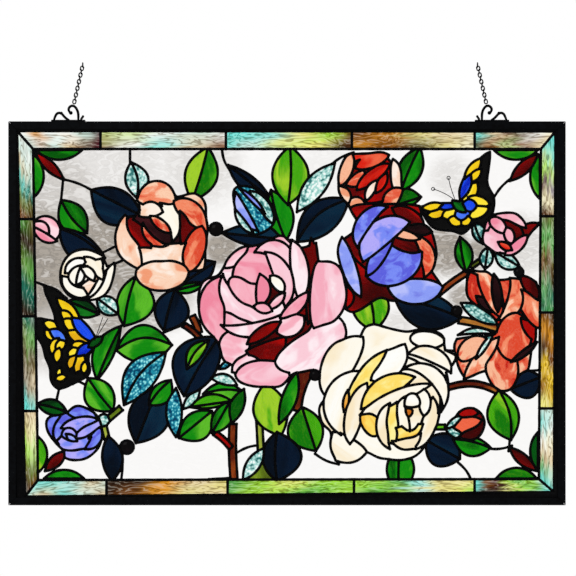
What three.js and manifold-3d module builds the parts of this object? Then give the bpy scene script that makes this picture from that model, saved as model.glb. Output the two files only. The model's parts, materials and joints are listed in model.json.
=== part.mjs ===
// A hanging stained glass window panel: streaky border strips round a field of roses, leaves and two butterflies,
// joined by soldered lines, in a metal channel frame with scroll hangers and short chains.
// The panel is drawn flat, x across and y up with its front towards +z, and then stood upright.
import * as THREE from 'three';
import { mergeVertices } from 'three/addons/utils/BufferGeometryUtils.js';
import Module from 'manifold-3d';

const wasm = await Module();
wasm.setup();

// Driving sizes, in millimetres
const panelWide = 813;
const panelTall = 560;
const glassThick = 3;
const solderWide = 4;
const solderDeep = 5;
const inlayWide = 3;
const inlayLift = 0.3;
const seatGap = 0.3;
const channelFace = 11;
const channelWeb = 2;
const channelLip = 1.5;
const channelPlay = 0.3;
const mitreGap = 0.3;
const jewelDeep = 8;
const hangDrop = 365;
const hangerLeft = 94.5; // from the panel's left side
const hangerRight = 114.5; // from its right side
const scrollThick = 4;
const scrollFootThick = 2;
const scrollFootLong = 52;
const scrollFootDeep = 7;
const chainWire = 1.6;
const chainLinkLong = 8.4;
const chainLinkWide = 6.4;
const chainLean = 14;
const chainFoot = 26.4;
const antennaWire = 1.2;
const antennaLift = 0.3;
const bladeStep = 30;
const linkBends = 6;
const bandStep = 30;
const edgeSlack = 1.4;
const cellSlack = 2.0;
const leastCell = 90;
const leastHole = 25;
const leastPane = 250;
const jewelSides = 8;

// The cartoon is drawn on squared paper. Its places are squares, x to the right and y down.
const cartoonLeft = 8.5;
const cartoonTop = 121.5;
const cartoonAcross = 557;
const cartoonDown = 383.5;
const squareWide = panelWide / cartoonAcross;
const squareTall = panelTall / cartoonDown;
const square = (squareWide + squareTall) / 2;

// Corners clockwise from the top left, each by its distances from the cartoon's nearest two sides
const fromSides = (corners) => corners.map(([x, y], i) => [
  i === 0 || i === 3 ? cartoonLeft + x : cartoonLeft + cartoonAcross - x,
  i < 2 ? cartoonTop + y : cartoonTop + cartoonDown - y,
]);

// The border glass and the line round the field
const borderCorners = fromSides([[8.5, 9.5], [10, 10], [11.5, 13], [16.5, 8.5]]);
const fieldCorners = fromSides([[24.5, 27.5], [24.5, 27.5], [26.5, 26], [29.5, 25]]);
const borderCuts = {
  top: [0.155, 0.388, 0.622, 0.85],
  right: [0.235, 0.502, 0.768],
  bottom: [0.85, 0.622, 0.383, 0.154],
  left: [0.745, 0.48, 0.22],
};

// Glass colours
const glassColours = {
  green: 0x148c14, lime: 0x5ab414, forest: 0x00500a, olive: 0x6e8c1e, navy: 0x03162d, teal: 0x3ca0aa,
  aqua: 0xbee6e1, cream: 0xfcf8e4, peach: 0xfacdaf, coral: 0xe65a3c, red: 0xd2140a, ruby: 0x6e0505,
  pink: 0xf5a5b9, blush: 0xfcd7e4, blue: 0x6478f0, lilac: 0xa09beb, yellow: 0xfad71e, clear: 0xebe8e6,
  plum: 0x1e080a, streaky: 0x96b46e, sky: 0x1446e6,
};

// Stems: name, start, end, half width, bow, all in squares, and the glass
const stems = [
  ['stem_trunk', [234, 479], [233, 424], 3.6, 1, 'amber'],
  ['stem_branch', [231, 448], [215, 433], 2.6, -1, 'ruby'],
  ['stem_olive', [260, 442], [259, 416], 3, 0, 'olive'],
  ['stem_rose', [305, 369], [294, 411], 3.6, -3, 'brown'],
  ['stem_twig_a', [192, 316], [199, 333], 3.2, 1, 'brown'],
  ['stem_twig_b', [184, 325], [200, 338], 2.6, 1, 'brown'],
  ['stem_right', [446, 388], [501, 393], 2.9, 7, 'brown'],
  ['stem_coral', [459, 320], [498, 329], 3.4, 1, 'brown'],
  ['stem_thorn', [438, 294], [468, 272], 2.8, 1, 'brown'],
  ['stem_bud', [471, 267], [481, 260], 2.2, 0, 'olive'],
  ['stem_small', [435, 427], [445, 427], 2.4, 0, 'lime'],
  ['stem_blue', [104, 429], [107, 437], 2.2, 0, 'olive'],
];

// Leaves: name, foot, tip, swell to the left and right of the line between them, bow of the midrib
// (null for none), bluntness and the glass. A later leaf lies over an earlier one.
const leaves = [
  ['leaf_bud', [61, 200], [87, 233], 12, 16, -3, 0.4, 'green'],
  ['navy_left', [91, 190], [142, 216], 14, 23, 0, 0.5, 'navy'],
  ['navy_bud', [59, 228], [105, 258], 8, 18, 4, 0.5, 'navy'],
  ['teal_top', [136, 198], [130, 162], 5, 17, 3, 0.3, 'teal'],
  ['green_rose', [192, 201], [208, 147], 15, 18, -1, 0.45, 'lime'],
  ['navy_rose', [183, 283], [215, 262], 11, 11, 0, 0.7, 'navy'],
  ['thin_green', [173, 291], [205, 283], 4, 6, 0, 0.3, 'green'],
  ['green_pair', [124, 323], [139, 278], 11, 20, 2, 0.45, 'olive'],
  ['navy_pair', [164, 331], [175, 289], 15, 20, 1, 0.6, 'navy'],
  ['dark_pair', [68, 301], [99, 314], 8, 10, 0, 0.6, 'forest'],
  ['aqua_pair', [99, 317], [108, 288], 7, 9, -2, 0.6, 'aqua'],
  ['navy_bud_low', [222, 233], [291, 240], 12, 10, 0, 0.5, 'navy'],
  ['blue_tip', [228, 165], [271, 199], 6, 10, 0, 0.4, 'navy'],
  ['green_low', [286, 241], [271, 190], 11, 15, 2, 0.5, 'green'],
  ['green_top', [288, 205], [290, 146], 17, 20, -2, 0.5, 'lime'],
  ['aqua_tip', [297, 212], [335, 163], 12, 9, null, 0.4, 'aqua'],
  ['navy_mid', [297, 242], [349, 199], 20, 13, 8, 0.5, 'navy'],
  ['green_red', [401, 191], [420, 147], 12, 12, 1, 0.5, 'green'],
  ['green_red_low', [397, 205], [421, 197], 13, 5, 0, 0.6, 'green'],
  ['lime_mid', [374, 331], [365, 284], 17, 20, -3, 0.6, 'lime'],
  ['navy_right', [395, 299], [461, 318], 15, 21, 3, 0.7, 'navy'],
  ['green_stub', [466, 272], [460, 237], 8, 10, 1, 0.5, 'green'],
  ['teal_a', [473, 243], [485, 221], 6, 7, 0, 0.5, 'teal'],
  ['teal_b', [481, 268], [493, 247], 7, 7, 0, 0.5, 'teal'],
  ['aqua_b', [490, 279], [519, 252], 9, 8, 0, 0.5, 'aqua'],
  ['aqua_c', [461, 304], [503, 322], 4, 10, null, 0.5, 'aqua'],
  ['coral_leaf', [458, 335], [495, 334], 7, -1, null, 0.5, 'aqua'],
  ['green_wing', [97, 380], [121, 326], 16, 5, 1, 0.6, 'green'],
  ['green_big', [116, 350], [172, 345], 23, 15, 10, 0.6, 'green'],
  ['green_blue', [113, 411], [88, 378], 17, 13, 1, 0.6, 'green'],
  ['dark_corner', [37, 404], [67, 412], 9, 7, 1, 0.6, 'forest'],
  ['teal_big', [124, 405], [166, 352], 21, 10, 7, 0.4, 'teal'],
  ['navy_low', [136, 443], [158, 387], 18, 23, 0, 0.7, 'navy'],
  ['navy_jewel', [112, 481], [108, 436], 8, 13, null, 0.6, 'navy'],
  ['green_small', [149, 405], [171, 380], 8, 12, 2, 0.6, 'green'],
  ['teal_low', [176, 437], [176, 388], 10, 6, 0, 0.5, 'teal'],
  ['aqua_low', [183, 409], [200, 390], 5, 5, null, 0.5, 'aqua'],
  ['navy_heart', [184, 396], [219, 337], 30, 15, 2, 0.8, 'navy'],
  ['green_heart', [187, 369], [209, 340], 11, 4, 4, 0.4, 'lime'],
  ['green_a', [242, 391], [203, 394], 6, 10, -3, 0.6, 'green'],
  ['green_b', [232, 401], [190, 407], 4, 10, 0, 0.5, 'lime'],
  ['green_c', [212, 411], [179, 438], 17, 12, 0, 0.6, 'green'],
  ['green_d', [230, 401], [212, 433], 11, 8, 0, 0.7, 'green'],
  ['green_e', [244, 389], [232, 423], 6, 8, null, 0.6, 'green'],
  ['teal_bit', [219, 369], [231, 361], 3, 4, null, 0.6, 'teal'],
  ['aqua_bit', [211, 378], [237, 385], 8, 3, null, 0.7, 'aqua'],
  ['lime_drop', [281, 436], [265, 383], 20, 14, null, 0.6, 'lime'],
  ['green_drop', [279, 424], [296, 371], 5, 11, null, 0.5, 'green'],
  ['lime_low', [316, 451], [302, 407], 22, 14, 0, 0.7, 'lime'],
  ['navy_drop', [277, 481], [277, 432], 15, 25, 2, 0.8, 'navy'],
  ['aqua_drop', [243, 480], [264, 448], 7, 7, null, 0.5, 'aqua'],
  ['olive_bit', [263, 480], [260, 468], 4, 4, null, 0.6, 'olive'],
  ['green_cup', [399, 481], [401, 457], 13, 15, 1, 0.9, 'green'],
  ['navy_cream', [426, 440], [460, 459], 17, 18, 0, 0.8, 'navy'],
  ['green_bud', [491, 448], [453, 439], 13, 7, -2, 0.5, 'green'],
  ['lime_right', [511, 440], [499, 390], 18, 14, -5, 0.6, 'lime'],
  ['navy_coral', [510, 389], [541, 377], 13, 16, 0, 0.8, 'navy'],
  ['red_tl', [35, 152], [64, 180], 5, 5, null, 0.3, 'ruby'],
  ['red_tr', [537, 155], [510, 180], 4, 4, null, 0.3, 'ruby'],
  ['red_bl', [45, 471], [66, 451], 6, 6, null, 0.4, 'ruby'],
  ['red_br', [537, 471], [509, 447], 6, 5, null, 0.4, 'ruby'],
];

// Flowers, from the lowest petal to the uppermost: start, end, swell to the left and right, and bluntness
const flowers = {
  blue_bud: { glass: 'aqua', petals: [
    [[236, 192], [258, 231], 1, 10, 0.6],
    [[250, 191], [273, 224], 9, 3, 0.7],
    [[239, 189], [271, 228], 3, 5, 0.5],
  ] },
  bud_pink: { glass: 'pink', petals: [
    [[34, 221], [59, 237], 13, 12, 0.9],
    [[34, 227], [57, 241], 1, 8, 0.7],
  ] },
  rose_white: { glass: 'cream', petals: [
    [[114, 263], [99, 298], 5, 5, 0.7],
    [[60, 276], [107, 274], 26, 25, 1],
    [[62, 276], [88, 296], 4, 10, 0.8],
    [[68, 276], [96, 280], 13, 10, 1],
  ] },
  rose_small_blue: { glass: 'blue', petals: [
    [[54, 432], [97, 430], 21, 22, 1],
    [[85, 449], [100, 427], 3, 9, 0.8],
    [[67, 413], [97, 418], 8, 4, 0.8],
    [[61, 428], [98, 420], 7, 3, 0.8],
  ] },
  rose_peach: { glass: 'peach', petals: [
    [[130, 232], [190, 232], 30, 32, 1],
    [[137, 200], [176, 201], 20, 6, 0.9],
    [[174, 201], [204, 228], 14, 7, 0.9],
    [[202, 226], [189, 272], 10, 12, 0.8],
    [[125, 215], [141, 269], 5, 15, 0.8],
    [[135, 274], [189, 272], 13, 18, 1],
  ] },
  rose_red: { glass: 'red', petals: [
    [[340, 181], [402, 178], 22, 24, 0.9],
    [[340, 186], [352, 153], 6, 7, 0.7],
    [[355, 168], [389, 155], 8, 6, 0.8],
    [[393, 159], [394, 190], 8, 3, 0.8],
    [[357, 190], [390, 164], 8, 5, 0.8],
  ] },
  rose_blue: { glass: 'blue', petals: [
    [[350, 235], [425, 250], 32, 44, 0.9],
    [[344, 239], [358, 293], 4, 9, 0.8],
    [[389, 287], [443, 287], 8, 16, 0.9],
    [[371, 273], [416, 254], 9, 19, 0.9],
    [[392, 228], [367, 273], 4, 9, 0.8],
    [[365, 258], [406, 213], 14, 5, 0.8],
  ] },
  rose_coral: { glass: 'coral', petals: [
    [[470, 300], [535, 320], 25, 30, 0.9],
    [[486, 269], [504, 318], 6, 9, 0.7],
    [[510, 276], [506, 318], 12, 3, 0.8],
    [[497, 345], [506, 392], 15, 15, 0.8],
    [[520, 314], [510, 361], 16, 17, 0.8],
    [[486, 335], [459, 361], 8, 16, 0.9],
  ] },
  rose_pink: { glass: 'pink', petals: [
    [[222, 303], [316, 303], 48, 62, 1],
    [[310, 240], [308, 324], 9, 3, 0.7],
    [[318, 261], [318, 324], 27, 8, 1],
    [[221, 276], [222, 339], 5, 23, 0.9],
    [[219, 344], [250, 344], 14, 17, 1],
    [[255, 252], [293, 268], 20, 4, 1],
    [[294, 241], [299, 301], 10, 5, 0.7],
    [[235, 272], [277, 272], 19, 5, 0.9],
    [[223, 274], [272, 315], -7, 24, 0.9],
    [[235, 376], [290, 376], 16, 11, 1],
    [[275, 365], [345, 325], 13, 23, 1],
  ] },
  rose_cream: { glass: 'cream', petals: [
    [[344, 400], [441, 400], 46, 52, 0.9],
    [[353, 370], [411, 347], 30, -6, 1],
    [[326, 397], [363, 337], 21, 9, 0.9],
    [[333, 432], [367, 452], 4, 22, 0.9],
    [[341, 435], [362, 371], 28, -7, 0.8],
    [[350, 444], [367, 383], 13, 5, 0.8],
    [[371, 380], [405, 344], 6, 16, 0.8],
    [[362, 432], [422, 449], -3, 19, 0.8],
    [[361, 409], [415, 377], 17, 4, 0.5],
    [[360, 415], [432, 384], 9, 4, 0.5],
    [[397, 406], [422, 405], 10, 26, 0.9],
  ] },
  rose_small_pink: { glass: 'pink', petals: [
    [[487, 233], [524, 236], 15, 16, 0.9],
    [[503, 215], [526, 228], 7, 2, 0.8],
    [[484, 233], [499, 253], 7, 5, 0.8],
    [[505, 255], [527, 235], 4, 7, 0.8],
  ] },
  bud_red: { glass: 'red', petals: [
    [[454, 424], [485, 421], 15, 18, 0.9],
    [[454, 428], [482, 420], 7, 6, 0.6],
  ] },
};

// Half leaves in the corners of the field, drawn as the petals are
const cornerLeaves = [
  [[36, 150], [82, 150], 0, 10, 0.45],
  [[33, 198], [33, 154], 0, 11, 0.45],
  [[494, 150], [538, 150], 0, 10, 0.45],
  [[540, 155], [540, 199], 0, 10, 0.45],
  [[37.5, 473], [37.5, 436], 0, 10, 0.45],
  [[84, 478.5], [44, 478.5], 0, 9, 0.45],
  [[538, 432], [538, 470], 0, 8, 0.45],
  [[536, 476], [498, 476], 0, 9, 0.45],
];

// Butterflies: dark wing plates and the bright cells let into them, drawn as the petals are
const butterflies = {
  butterfly_left: {
    wings: [
      [[44, 288], [96, 342], 5, 30, 0.6],
      [[40, 320], [97, 341], 12, 26, 0.7],
      [[57, 390], [95, 343], 28, 12, 0.8],
    ],
    cells: [
      [[58, 299], [78, 317], 3, 4, 0.4],
      [[62, 312], [71, 320], 3, 3, 0.5],
      [[65, 320], [74, 330], 4, 3, 0.9],
      [[69, 332], [92, 343], 4, 5, 0.7],
      [[73, 319], [94, 341], 3, 4, 0.4],
      [[45, 323], [56, 327], 3, 3, 0.7],
      [[46, 331], [51, 339], 2, 2, 0.7],
      [[51, 331], [65, 340], 4, 3, 0.5],
      [[52, 352], [58, 340], 4, 2, 0.8],
      [[57, 348], [64, 342], 3, 3, 0.8],
      [[57, 361], [59, 350], 3, 2, 0.8],
      [[73, 345], [84, 344], 2, 2, 0.7],
      [[69, 355], [77, 350], 3, 2, 0.8],
      [[78, 355], [92, 345], 4, 3, 0.5],
      [[70, 368], [75, 357], 4, 1, 0.6],
      [[76, 371], [83, 357], 3, 3, 0.7],
      [[84, 372], [85, 363], 2, 2, 0.5],
      [[58, 375], [60, 369], 1.5, 1.5, 0.6],
      [[57, 379], [65, 377], 2, 2, 0.7],
      [[90, 346], [101, 338], 2.2, 2.2, 0.8],
    ],
  },
  butterfly_right: {
    wings: [
      [[457, 201], [490, 150], 9, 15, 0.7],
      [[457, 202], [497, 214], 16, 16, 0.8],
      [[457, 205], [422, 206], 8, 8, 0.7],
      [[459, 204], [457, 232], 16, 11, 0.8],
    ],
    cells: [
      [[466, 178], [480, 160], 3, 3, 0.5],
      [[472, 180], [480, 171], 3, 2, 0.7],
      [[466, 200], [480, 190], 3, 4, 0.8],
      [[470, 198], [488, 204], 3, 3, 0.8],
      [[471, 217], [487, 209], 4, 3, 0.8],
      [[461, 198], [470, 176], 3, 3, 0.4],
      [[464, 206], [474, 209], 3, 3, 0.7],
      [[424, 208], [441, 205], 2, 3, 0.6],
      [[429, 215], [442, 214], 2, 3, 0.8],
      [[444, 217], [452, 212], 3, 3, 0.8],
      [[450, 219], [461, 223], 3, 4, 0.8],
      [[463, 224], [470, 219], 3, 3, 0.8],
      [[441, 208], [455, 206], 2, 1, 0.6],
      [[458, 213], [463, 222], 3, 2, 0.6],
      [[453, 200], [465, 213], 2.5, 2.5, 0.8],
    ],
  },
};

// Round jewels: centre and radius
const jewels = [[[216, 229], 7], [[519, 272], 5.2], [[457, 311], 5.5], [[127, 447], 7.5], [[315, 375], 5.5]];

// Solder lines across the clear glass: start, end and bow
const breakLines = [
  [[64, 180], [92, 191], 2],
  [[63, 181], [61, 201], 0],
  [[130, 150], [130, 163], 0],
  [[510, 180], [495, 197], -2],
  [[223, 150], [231, 170], -3],
  [[333, 164], [351, 154], 2],
  [[102, 253], [114, 247], 0],
  [[107, 267], [119, 262], 0],
  [[34, 282], [64, 297], 2],
  [[528, 226], [541, 222], 0],
  [[490, 448], [509, 446], -2],
  [[510, 439], [509, 448], 0],
  [[460, 465], [470, 479], 2],
  [[443, 350], [458, 351], 0],
  [[446, 373], [448, 386], 1],
  [[98, 380], [117, 390], 1],
  [[117, 390], [119, 402], 0],
  [[458, 360], [460, 368], 0],
  [[36, 401], [50, 398], 1],
  [[57, 398], [59, 389], 0],
  [[541, 370], [529, 371], 0],
  [[165, 332], [180, 326], 0],
  [[62, 384], [70, 384], 0],
  [[82, 383], [88, 386], 0],
  [[241, 452], [252, 449], 1],
  [[122, 455], [121, 479], 1],
  [[345, 337], [361, 337], -2],
  [[318, 455], [336, 463], -2],
  [[230, 478], [212, 479], 0],
];

// Flat outlines

function place(x, y) {
  return new THREE.Vector2(
    (x - cartoonLeft - cartoonAcross / 2) * squareWide,
    (cartoonTop + cartoonDown / 2 - y) * squareTall,
  );
}

function bends(length, step, least, most) {
  return THREE.MathUtils.clamp(Math.round(length / step), least, most);
}

// A blade swells from its chord by left and right. Bluntness 0 has pointed ends, and 1 is a half ellipse each side.
function bladeOutline({ from, to, left, right, blunt }) {
  const start = place(...from);
  const chord = place(...to).sub(start);
  const across = new THREE.Vector2(-chord.y, chord.x).normalize();
  const count = bends(chord.length(), bladeStep, 3, 4);
  const points = [];
  for (const [side, swell] of [[-1, right], [1, left]]) {
    for (let i = 0; i < count; i += 1) {
      const t = side < 0 ? i / count : 1 - i / count;
      const run = THREE.MathUtils.lerp(t, (1 - Math.cos(Math.PI * t)) / 2, blunt);
      const away = side * swell * square * Math.sin(Math.PI * t);
      points.push(start.clone().addScaledVector(chord, run).addScaledVector(across, away));
    }
  }
  return points;
}

// A band of even width along an arc from one place to another
function bandOutline({ from, to, half, bow }) {
  const start = place(...from);
  const chord = place(...to).sub(start);
  const across = new THREE.Vector2(-chord.y, chord.x).normalize();
  const count = bow === 0 ? 1 : bends(chord.length(), bandStep, 2, 3);
  const points = [];
  for (const side of [1, -1]) {
    for (let i = 0; i <= count; i += 1) {
      const t = side > 0 ? i / count : 1 - i / count;
      const away = bow * square * Math.sin(Math.PI * t) + side * half;
      points.push(start.clone().addScaledVector(chord, t).addScaledVector(across, away));
    }
  }
  return points;
}

function circleOutline({ x, y }, radius, count) {
  return Array.from({ length: count }, (unused, i) => {
    const turn = (2 * Math.PI * i) / count;
    return new THREE.Vector2(x + radius * Math.cos(turn), y + radius * Math.sin(turn));
  });
}

// A closed loop moved outwards by a distance. Outer loops run anticlockwise and holes clockwise.
function moveOut(loop, distance) {
  return loop.map((point, i) => {
    const before = point.clone().sub(loop.at(i - 1)).normalize();
    const after = loop[(i + 1) % loop.length].clone().sub(point).normalize();
    const outward = new THREE.Vector2(before.y + after.y, -before.x - after.x);
    const spread = Math.max(outward.length() / 2, 0.4);
    return point.clone().addScaledVector(outward.normalize(), distance / spread);
  });
}

const quadLoop = (corners) => [...corners].reverse().map(([x, y]) => place(x, y));

// The points of an open line that it needs to stay within slack of itself, without its last point
function thinLine(line, slack) {
  const [first, last] = [line[0], line.at(-1)];
  const chord = last.clone().sub(first);
  const length = chord.length();
  const away = line.map((point) => {
    const arm = point.clone().sub(first);
    return length > 0 ? Math.abs(chord.cross(arm)) / length : arm.length();
  });
  const widest = away.indexOf(Math.max(...away));
  if (away[widest] <= slack) {
    return [first];
  }
  return [...thinLine(line.slice(0, widest + 1), slack), ...thinLine(line.slice(widest), slack)];
}

// A closed loop thinned in the same way, from its first point round to it again
function thinOut(loop, slack) {
  const far = loop.map((point) => point.distanceTo(loop[0]));
  const opposite = far.indexOf(Math.max(...far));
  const back = [...loop.slice(opposite), loop[0]];
  return [...thinLine(loop.slice(0, opposite + 1), slack), ...thinLine(back, slack)];
}

// Solids

function solid(geometry) {
  geometry.deleteAttribute('normal');
  geometry.deleteAttribute('uv');
  const merged = mergeVertices(geometry, 1e-4);
  return new wasm.Manifold(new wasm.Mesh({
    numProp: 3,
    vertProperties: new Float32Array(merged.attributes.position.array),
    triVerts: new Uint32Array(merged.index.array),
  }));
}

function prism(loops, low, high) {
  const [outer, ...holes] = Array.isArray(loops[0]) ? loops : [loops];
  const shape = new THREE.Shape(outer);
  shape.holes = holes.map((hole) => new THREE.Path(hole));
  const geometry = new THREE.ExtrudeGeometry(shape, { depth: high - low, bevelEnabled: false });
  return solid(geometry.translate(0, 0, low));
}

const join = (solids) => solids.filter(Boolean).reduce((whole, next) => whole.add(next));
const cut = (body, tool) => (tool ? body.subtract(tool) : body);
const biggest = (body) => body.decompose().reduce((best, next) => (next.volume() > best.volume() ? next : best));

// The loops round a prism's front face: the edges that only one front triangle has, put end to end
function frontLoops(body, slack) {
  const { vertProperties, triVerts } = body.getMesh();
  const front = body.boundingBox().max[2];
  const point = (v) => new THREE.Vector2(vertProperties[3 * v], vertProperties[3 * v + 1]);
  const isFront = (v) => Math.abs(vertProperties[3 * v + 2] - front) < 1e-4;
  const edges = new Map();
  for (let t = 0; t < triVerts.length; t += 3) {
    const corners = [...triVerts.slice(t, t + 3)];
    if (corners.every(isFront)) {
      corners.forEach((a, i) => {
        const b = corners[(i + 1) % 3];
        if (!edges.delete(`${b} ${a}`)) {
          edges.set(`${a} ${b}`, [a, b]);
        }
      });
    }
  }
  const next = new Map([...edges.values()]);
  const loops = [];
  while (next.size) {
    const loop = [];
    let [at] = next.keys();
    while (next.has(at)) {
      loop.push(point(at));
      const after = next.get(at);
      next.delete(at);
      at = after;
    }
    loops.push(thinOut(loop, slack));
  }
  const area = (loop) => Math.abs(THREE.ShapeUtils.area(loop));
  const wide = loops.filter((loop) => loop.length > 2 && area(loop) > leastHole);
  return wide.sort((a, b) => area(b) - area(a));
}

// Loops are sound while their triangles fill them, without a crossing
function isSound([outer, ...holes]) {
  const corners = outer.length + holes.reduce((sum, hole) => sum + hole.length, 0);
  return THREE.ShapeUtils.triangulateShape(outer, holes).length === corners + 2 * holes.length - 2;
}

// The loops of a body, as thin as they stay sound
function soundLoops(body, slack) {
  const loops = frontLoops(body, slack);
  return slack < 0.1 || isSound(loops) ? loops : soundLoops(body, slack / 2);
}

function tube(points, radius, sides, count) {
  const ring = circleOutline({ x: 0, y: 0 }, radius, sides);
  const extrudePath = new THREE.CatmullRomCurve3(points);
  return solid(new THREE.ExtrudeGeometry(new THREE.Shape(ring), { steps: count, extrudePath }));
}

const group = new THREE.Group();

function addNode(name, body, colour, roughness, metalness) {
  const { vertProperties, triVerts } = body.getMesh();
  const geometry = new THREE.BufferGeometry();
  geometry.setAttribute('position', new THREE.BufferAttribute(new Float32Array(vertProperties), 3));
  geometry.setIndex(new THREE.BufferAttribute(new Uint32Array(triVerts), 1));
  geometry.computeVertexNormals();
  const mesh = new THREE.Mesh(geometry, new THREE.MeshStandardMaterial({ color: colour, roughness, metalness }));
  mesh.name = name;
  group.add(mesh);
}

const addGlass = (name, body, glass) => addNode(name, body, glassColours[glass], 0.15, 0);
const addMetal = (name, body) => addNode(name, body, 0x0c0c0c, 0.45, 0.8);

// Levels through the panel's thickness, and half widths of its lines
const glassFront = glassThick / 2;
const solderFront = solderDeep / 2;
const inlayBack = glassFront + inlayLift;
const through = 4 * solderDeep;
const halfLine = solderWide / 2;
const halfInlay = inlayWide / 2;

const bladeSolid = (blade, grow) => prism(moveOut(bladeOutline(blade), grow), -through, through);
const bandSolid = (band) => prism(bandOutline({ ...band, half: halfInlay }), -through, through);

const slab = (low, high) => solid(new THREE.BoxGeometry(2 * panelWide, 2 * panelTall, high - low)
  .translate(0, 0, (low + high) / 2));
const frontHalf = slab(0, through);
const backToInlay = slab(-through, inlayBack);
const glassSlab = slab(-glassFront, glassFront);

// Figures are laid from the uppermost down. Each takes what the ones above it leave.
const openings = [];
const overlays = [];
let cover = null;
let seatCover = null;

function openFront(body) {
  for (const cell of body.decompose()) {
    if (cell.volume() > leastCell * 2 * through) {
      const loops = soundLoops(cell, cellSlack);
      openings.push(isSound(loops) ? prism(loops, 0, through) : cell.intersect(frontHalf));
    }
  }
}

const meets = (a, b) => {
  const { min, max } = a.boundingBox();
  const other = b.boundingBox();
  return [0, 1].every((axis) => min[axis] < other.max[axis] && max[axis] > other.min[axis]);
};

// The metal over a piece of glass is opened between its lines: its own inner shapes, small figures and ribs
function openOver(piece, inner, ribs, dark) {
  let above = null;
  for (const { blade, rib } of [...overlays, ...inner]) {
    const core = bladeSolid(blade, -halfInlay);
    if (meets(core, piece)) {
      openFront(cut(cut(piece.intersect(core), above), rib && bandSolid(rib)));
      above = join([above, bladeSolid(blade, halfInlay)]);
    }
  }
  if (!dark) {
    openFront(ribs.reduce((rest, rib) => rest.subtract(bandSolid(rib)), cut(piece, above)));
  }
}

// A figure's glass is one solid without holes, with a seat a little wider in the metal
function layFigure(name, glass, figure, inner, ribs, dark = false) {
  const blades = figure.filter(({ left, right }) => (left + right) * square > solderWide);
  const body = cut(join(blades.map((blade) => bladeSolid(blade, -halfLine))), cover);
  const [outline] = soundLoops(biggest(body), edgeSlack);
  addGlass(name, prism(outline, -glassFront, glassFront), glass);
  openings.push(prism(moveOut(outline, seatGap), -through, inlayBack));
  openOver(prism(outline, -through, through), inner, ribs, dark);
  cover = join([cover, ...blades.map((blade) => bladeSolid(blade, halfLine))]);
  seatCover = join([seatCover, ...blades.map((blade) => bladeSolid(blade, halfLine - seatGap))]);
}

// Figures from the drawing's rows

const asBlade = ([from, to, left, right, blunt]) => ({ from, to, left, right, blunt });
const stemBlade = ([, from, to, half, bow]) => ({ from, to, left: half + bow, right: half - bow, blunt: 0.9 });

// Leaves that are solids of their own. The others are lines on the pane behind them.
const ownLeaves = new Set([
  'leaf_bud', 'navy_left', 'green_rose', 'green_top', 'navy_mid', 'lime_mid', 'navy_right', 'green_wing',
  'green_big', 'green_blue', 'teal_big', 'navy_low', 'navy_heart', 'lime_drop', 'lime_low', 'navy_drop',
  'navy_cream', 'lime_right', 'navy_coral',
]);

function layJewels() {
  jewels.forEach(([centre, radius], i) => {
    const edge = radius * square - halfLine;
    const crown = jewelDeep / 2;
    const profile = [
      [0, -crown], [edge * 0.65, -crown * 0.8], [edge, -glassFront], [edge, glassFront], [edge * 0.65, crown * 0.8],
      [0, crown],
    ].map(([x, y]) => new THREE.Vector2(x, y));
    const spot = place(...centre);
    const dome = new THREE.LatheGeometry(profile, jewelSides).rotateX(Math.PI / 2).translate(spot.x, spot.y, 0);
    addGlass(`jewel_${i + 1}`, solid(dome), 'plum');
    const ring = (radius) => prism(circleOutline(spot, radius / Math.cos(Math.PI / jewelSides), jewelSides), -through, through);
    openings.push(ring(edge + seatGap));
    cover = join([cover, ring(edge + solderWide)]);
    seatCover = join([seatCover, ring(edge + solderWide - seatGap)]);
  });
}

function layButterfly(name, { wings, cells }) {
  layFigure(name, 'yellow', wings.map(asBlade), cells.map((cell) => ({ blade: asBlade(cell) })), [], true);
}

function layFlower(name, { glass, petals }) {
  const blades = petals.map(asBlade);
  layFigure(name, glass, blades, blades.map((blade) => ({ blade })).reverse(), []);
}

function layLeaf([name, from, to, left, right, bow, blunt, glass]) {
  const blade = { from, to, left, right, blunt };
  const rib = bow === null ? null : { from, to, bow };
  if (ownLeaves.has(name)) {
    layFigure(name, glass, [blade], [], rib ? [rib] : []);
  } else {
    overlays.push({ blade, rib });
  }
}

// The pieces of clear glass left between the figures
function layPanes() {
  const field = quadLoop(fieldCorners);
  const panes = prism(moveOut(field, -halfLine), -through, through).subtract(cover).decompose();
  const seats = prism(moveOut(field, seatGap - halfLine), -through, through).subtract(seatCover).decompose();
  const ribs = breakLines.map(([from, to, bow]) => ({ from, to, bow }));
  panes.filter((pane) => pane.volume() > leastPane * 2 * through)
    .sort((a, b) => a.boundingBox().min[0] - b.boundingBox().min[0])
    .forEach((pane, i) => {
      addGlass(`pane_${i + 1}`, pane.intersect(glassSlab), 'clear');
      const seat = seats.find((space) => space.intersect(pane).volume() > 0);
      openings.push(seat.intersect(backToInlay));
      openOver(pane, [], ribs);
    });
}

// Four strips of border glass with their cuts as lines on the front
function layBorder() {
  const between = (a, b, share) => a.map((value, axis) => THREE.MathUtils.lerp(value, b[axis], share));
  overlays.length = 0;
  Object.entries(borderCuts).forEach(([side, cuts], i) => {
    const next = (i + 1) % 4;
    const [a, b, c, d] = [borderCorners[i], borderCorners[next], fieldCorners[next], fieldCorners[i]];
    const along = i % 2;
    const ribs = cuts.map((share) => {
      const from = between(a, b, share);
      return { from, to: between(d, c, (from[along] - d[along]) / (c[along] - d[along])), bow: 0 };
    });
    const strip = moveOut(quadLoop([a, b, c, d]), -halfLine);
    addGlass(`border_${side}`, prism(strip, -glassFront, glassFront), 'streaky');
    openings.push(prism(moveOut(strip, seatGap), -through, inlayBack));
    openOver(prism(strip, -through, through), [], ribs);
  });
}

function addLattice() {
  const edge = channelWeb + channelPlay;
  const plate = solid(new THREE.BoxGeometry(panelWide - 2 * edge, panelTall - 2 * edge, solderDeep));
  addMetal('solder_lattice', biggest(plate.subtract(join(openings))));
}

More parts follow.
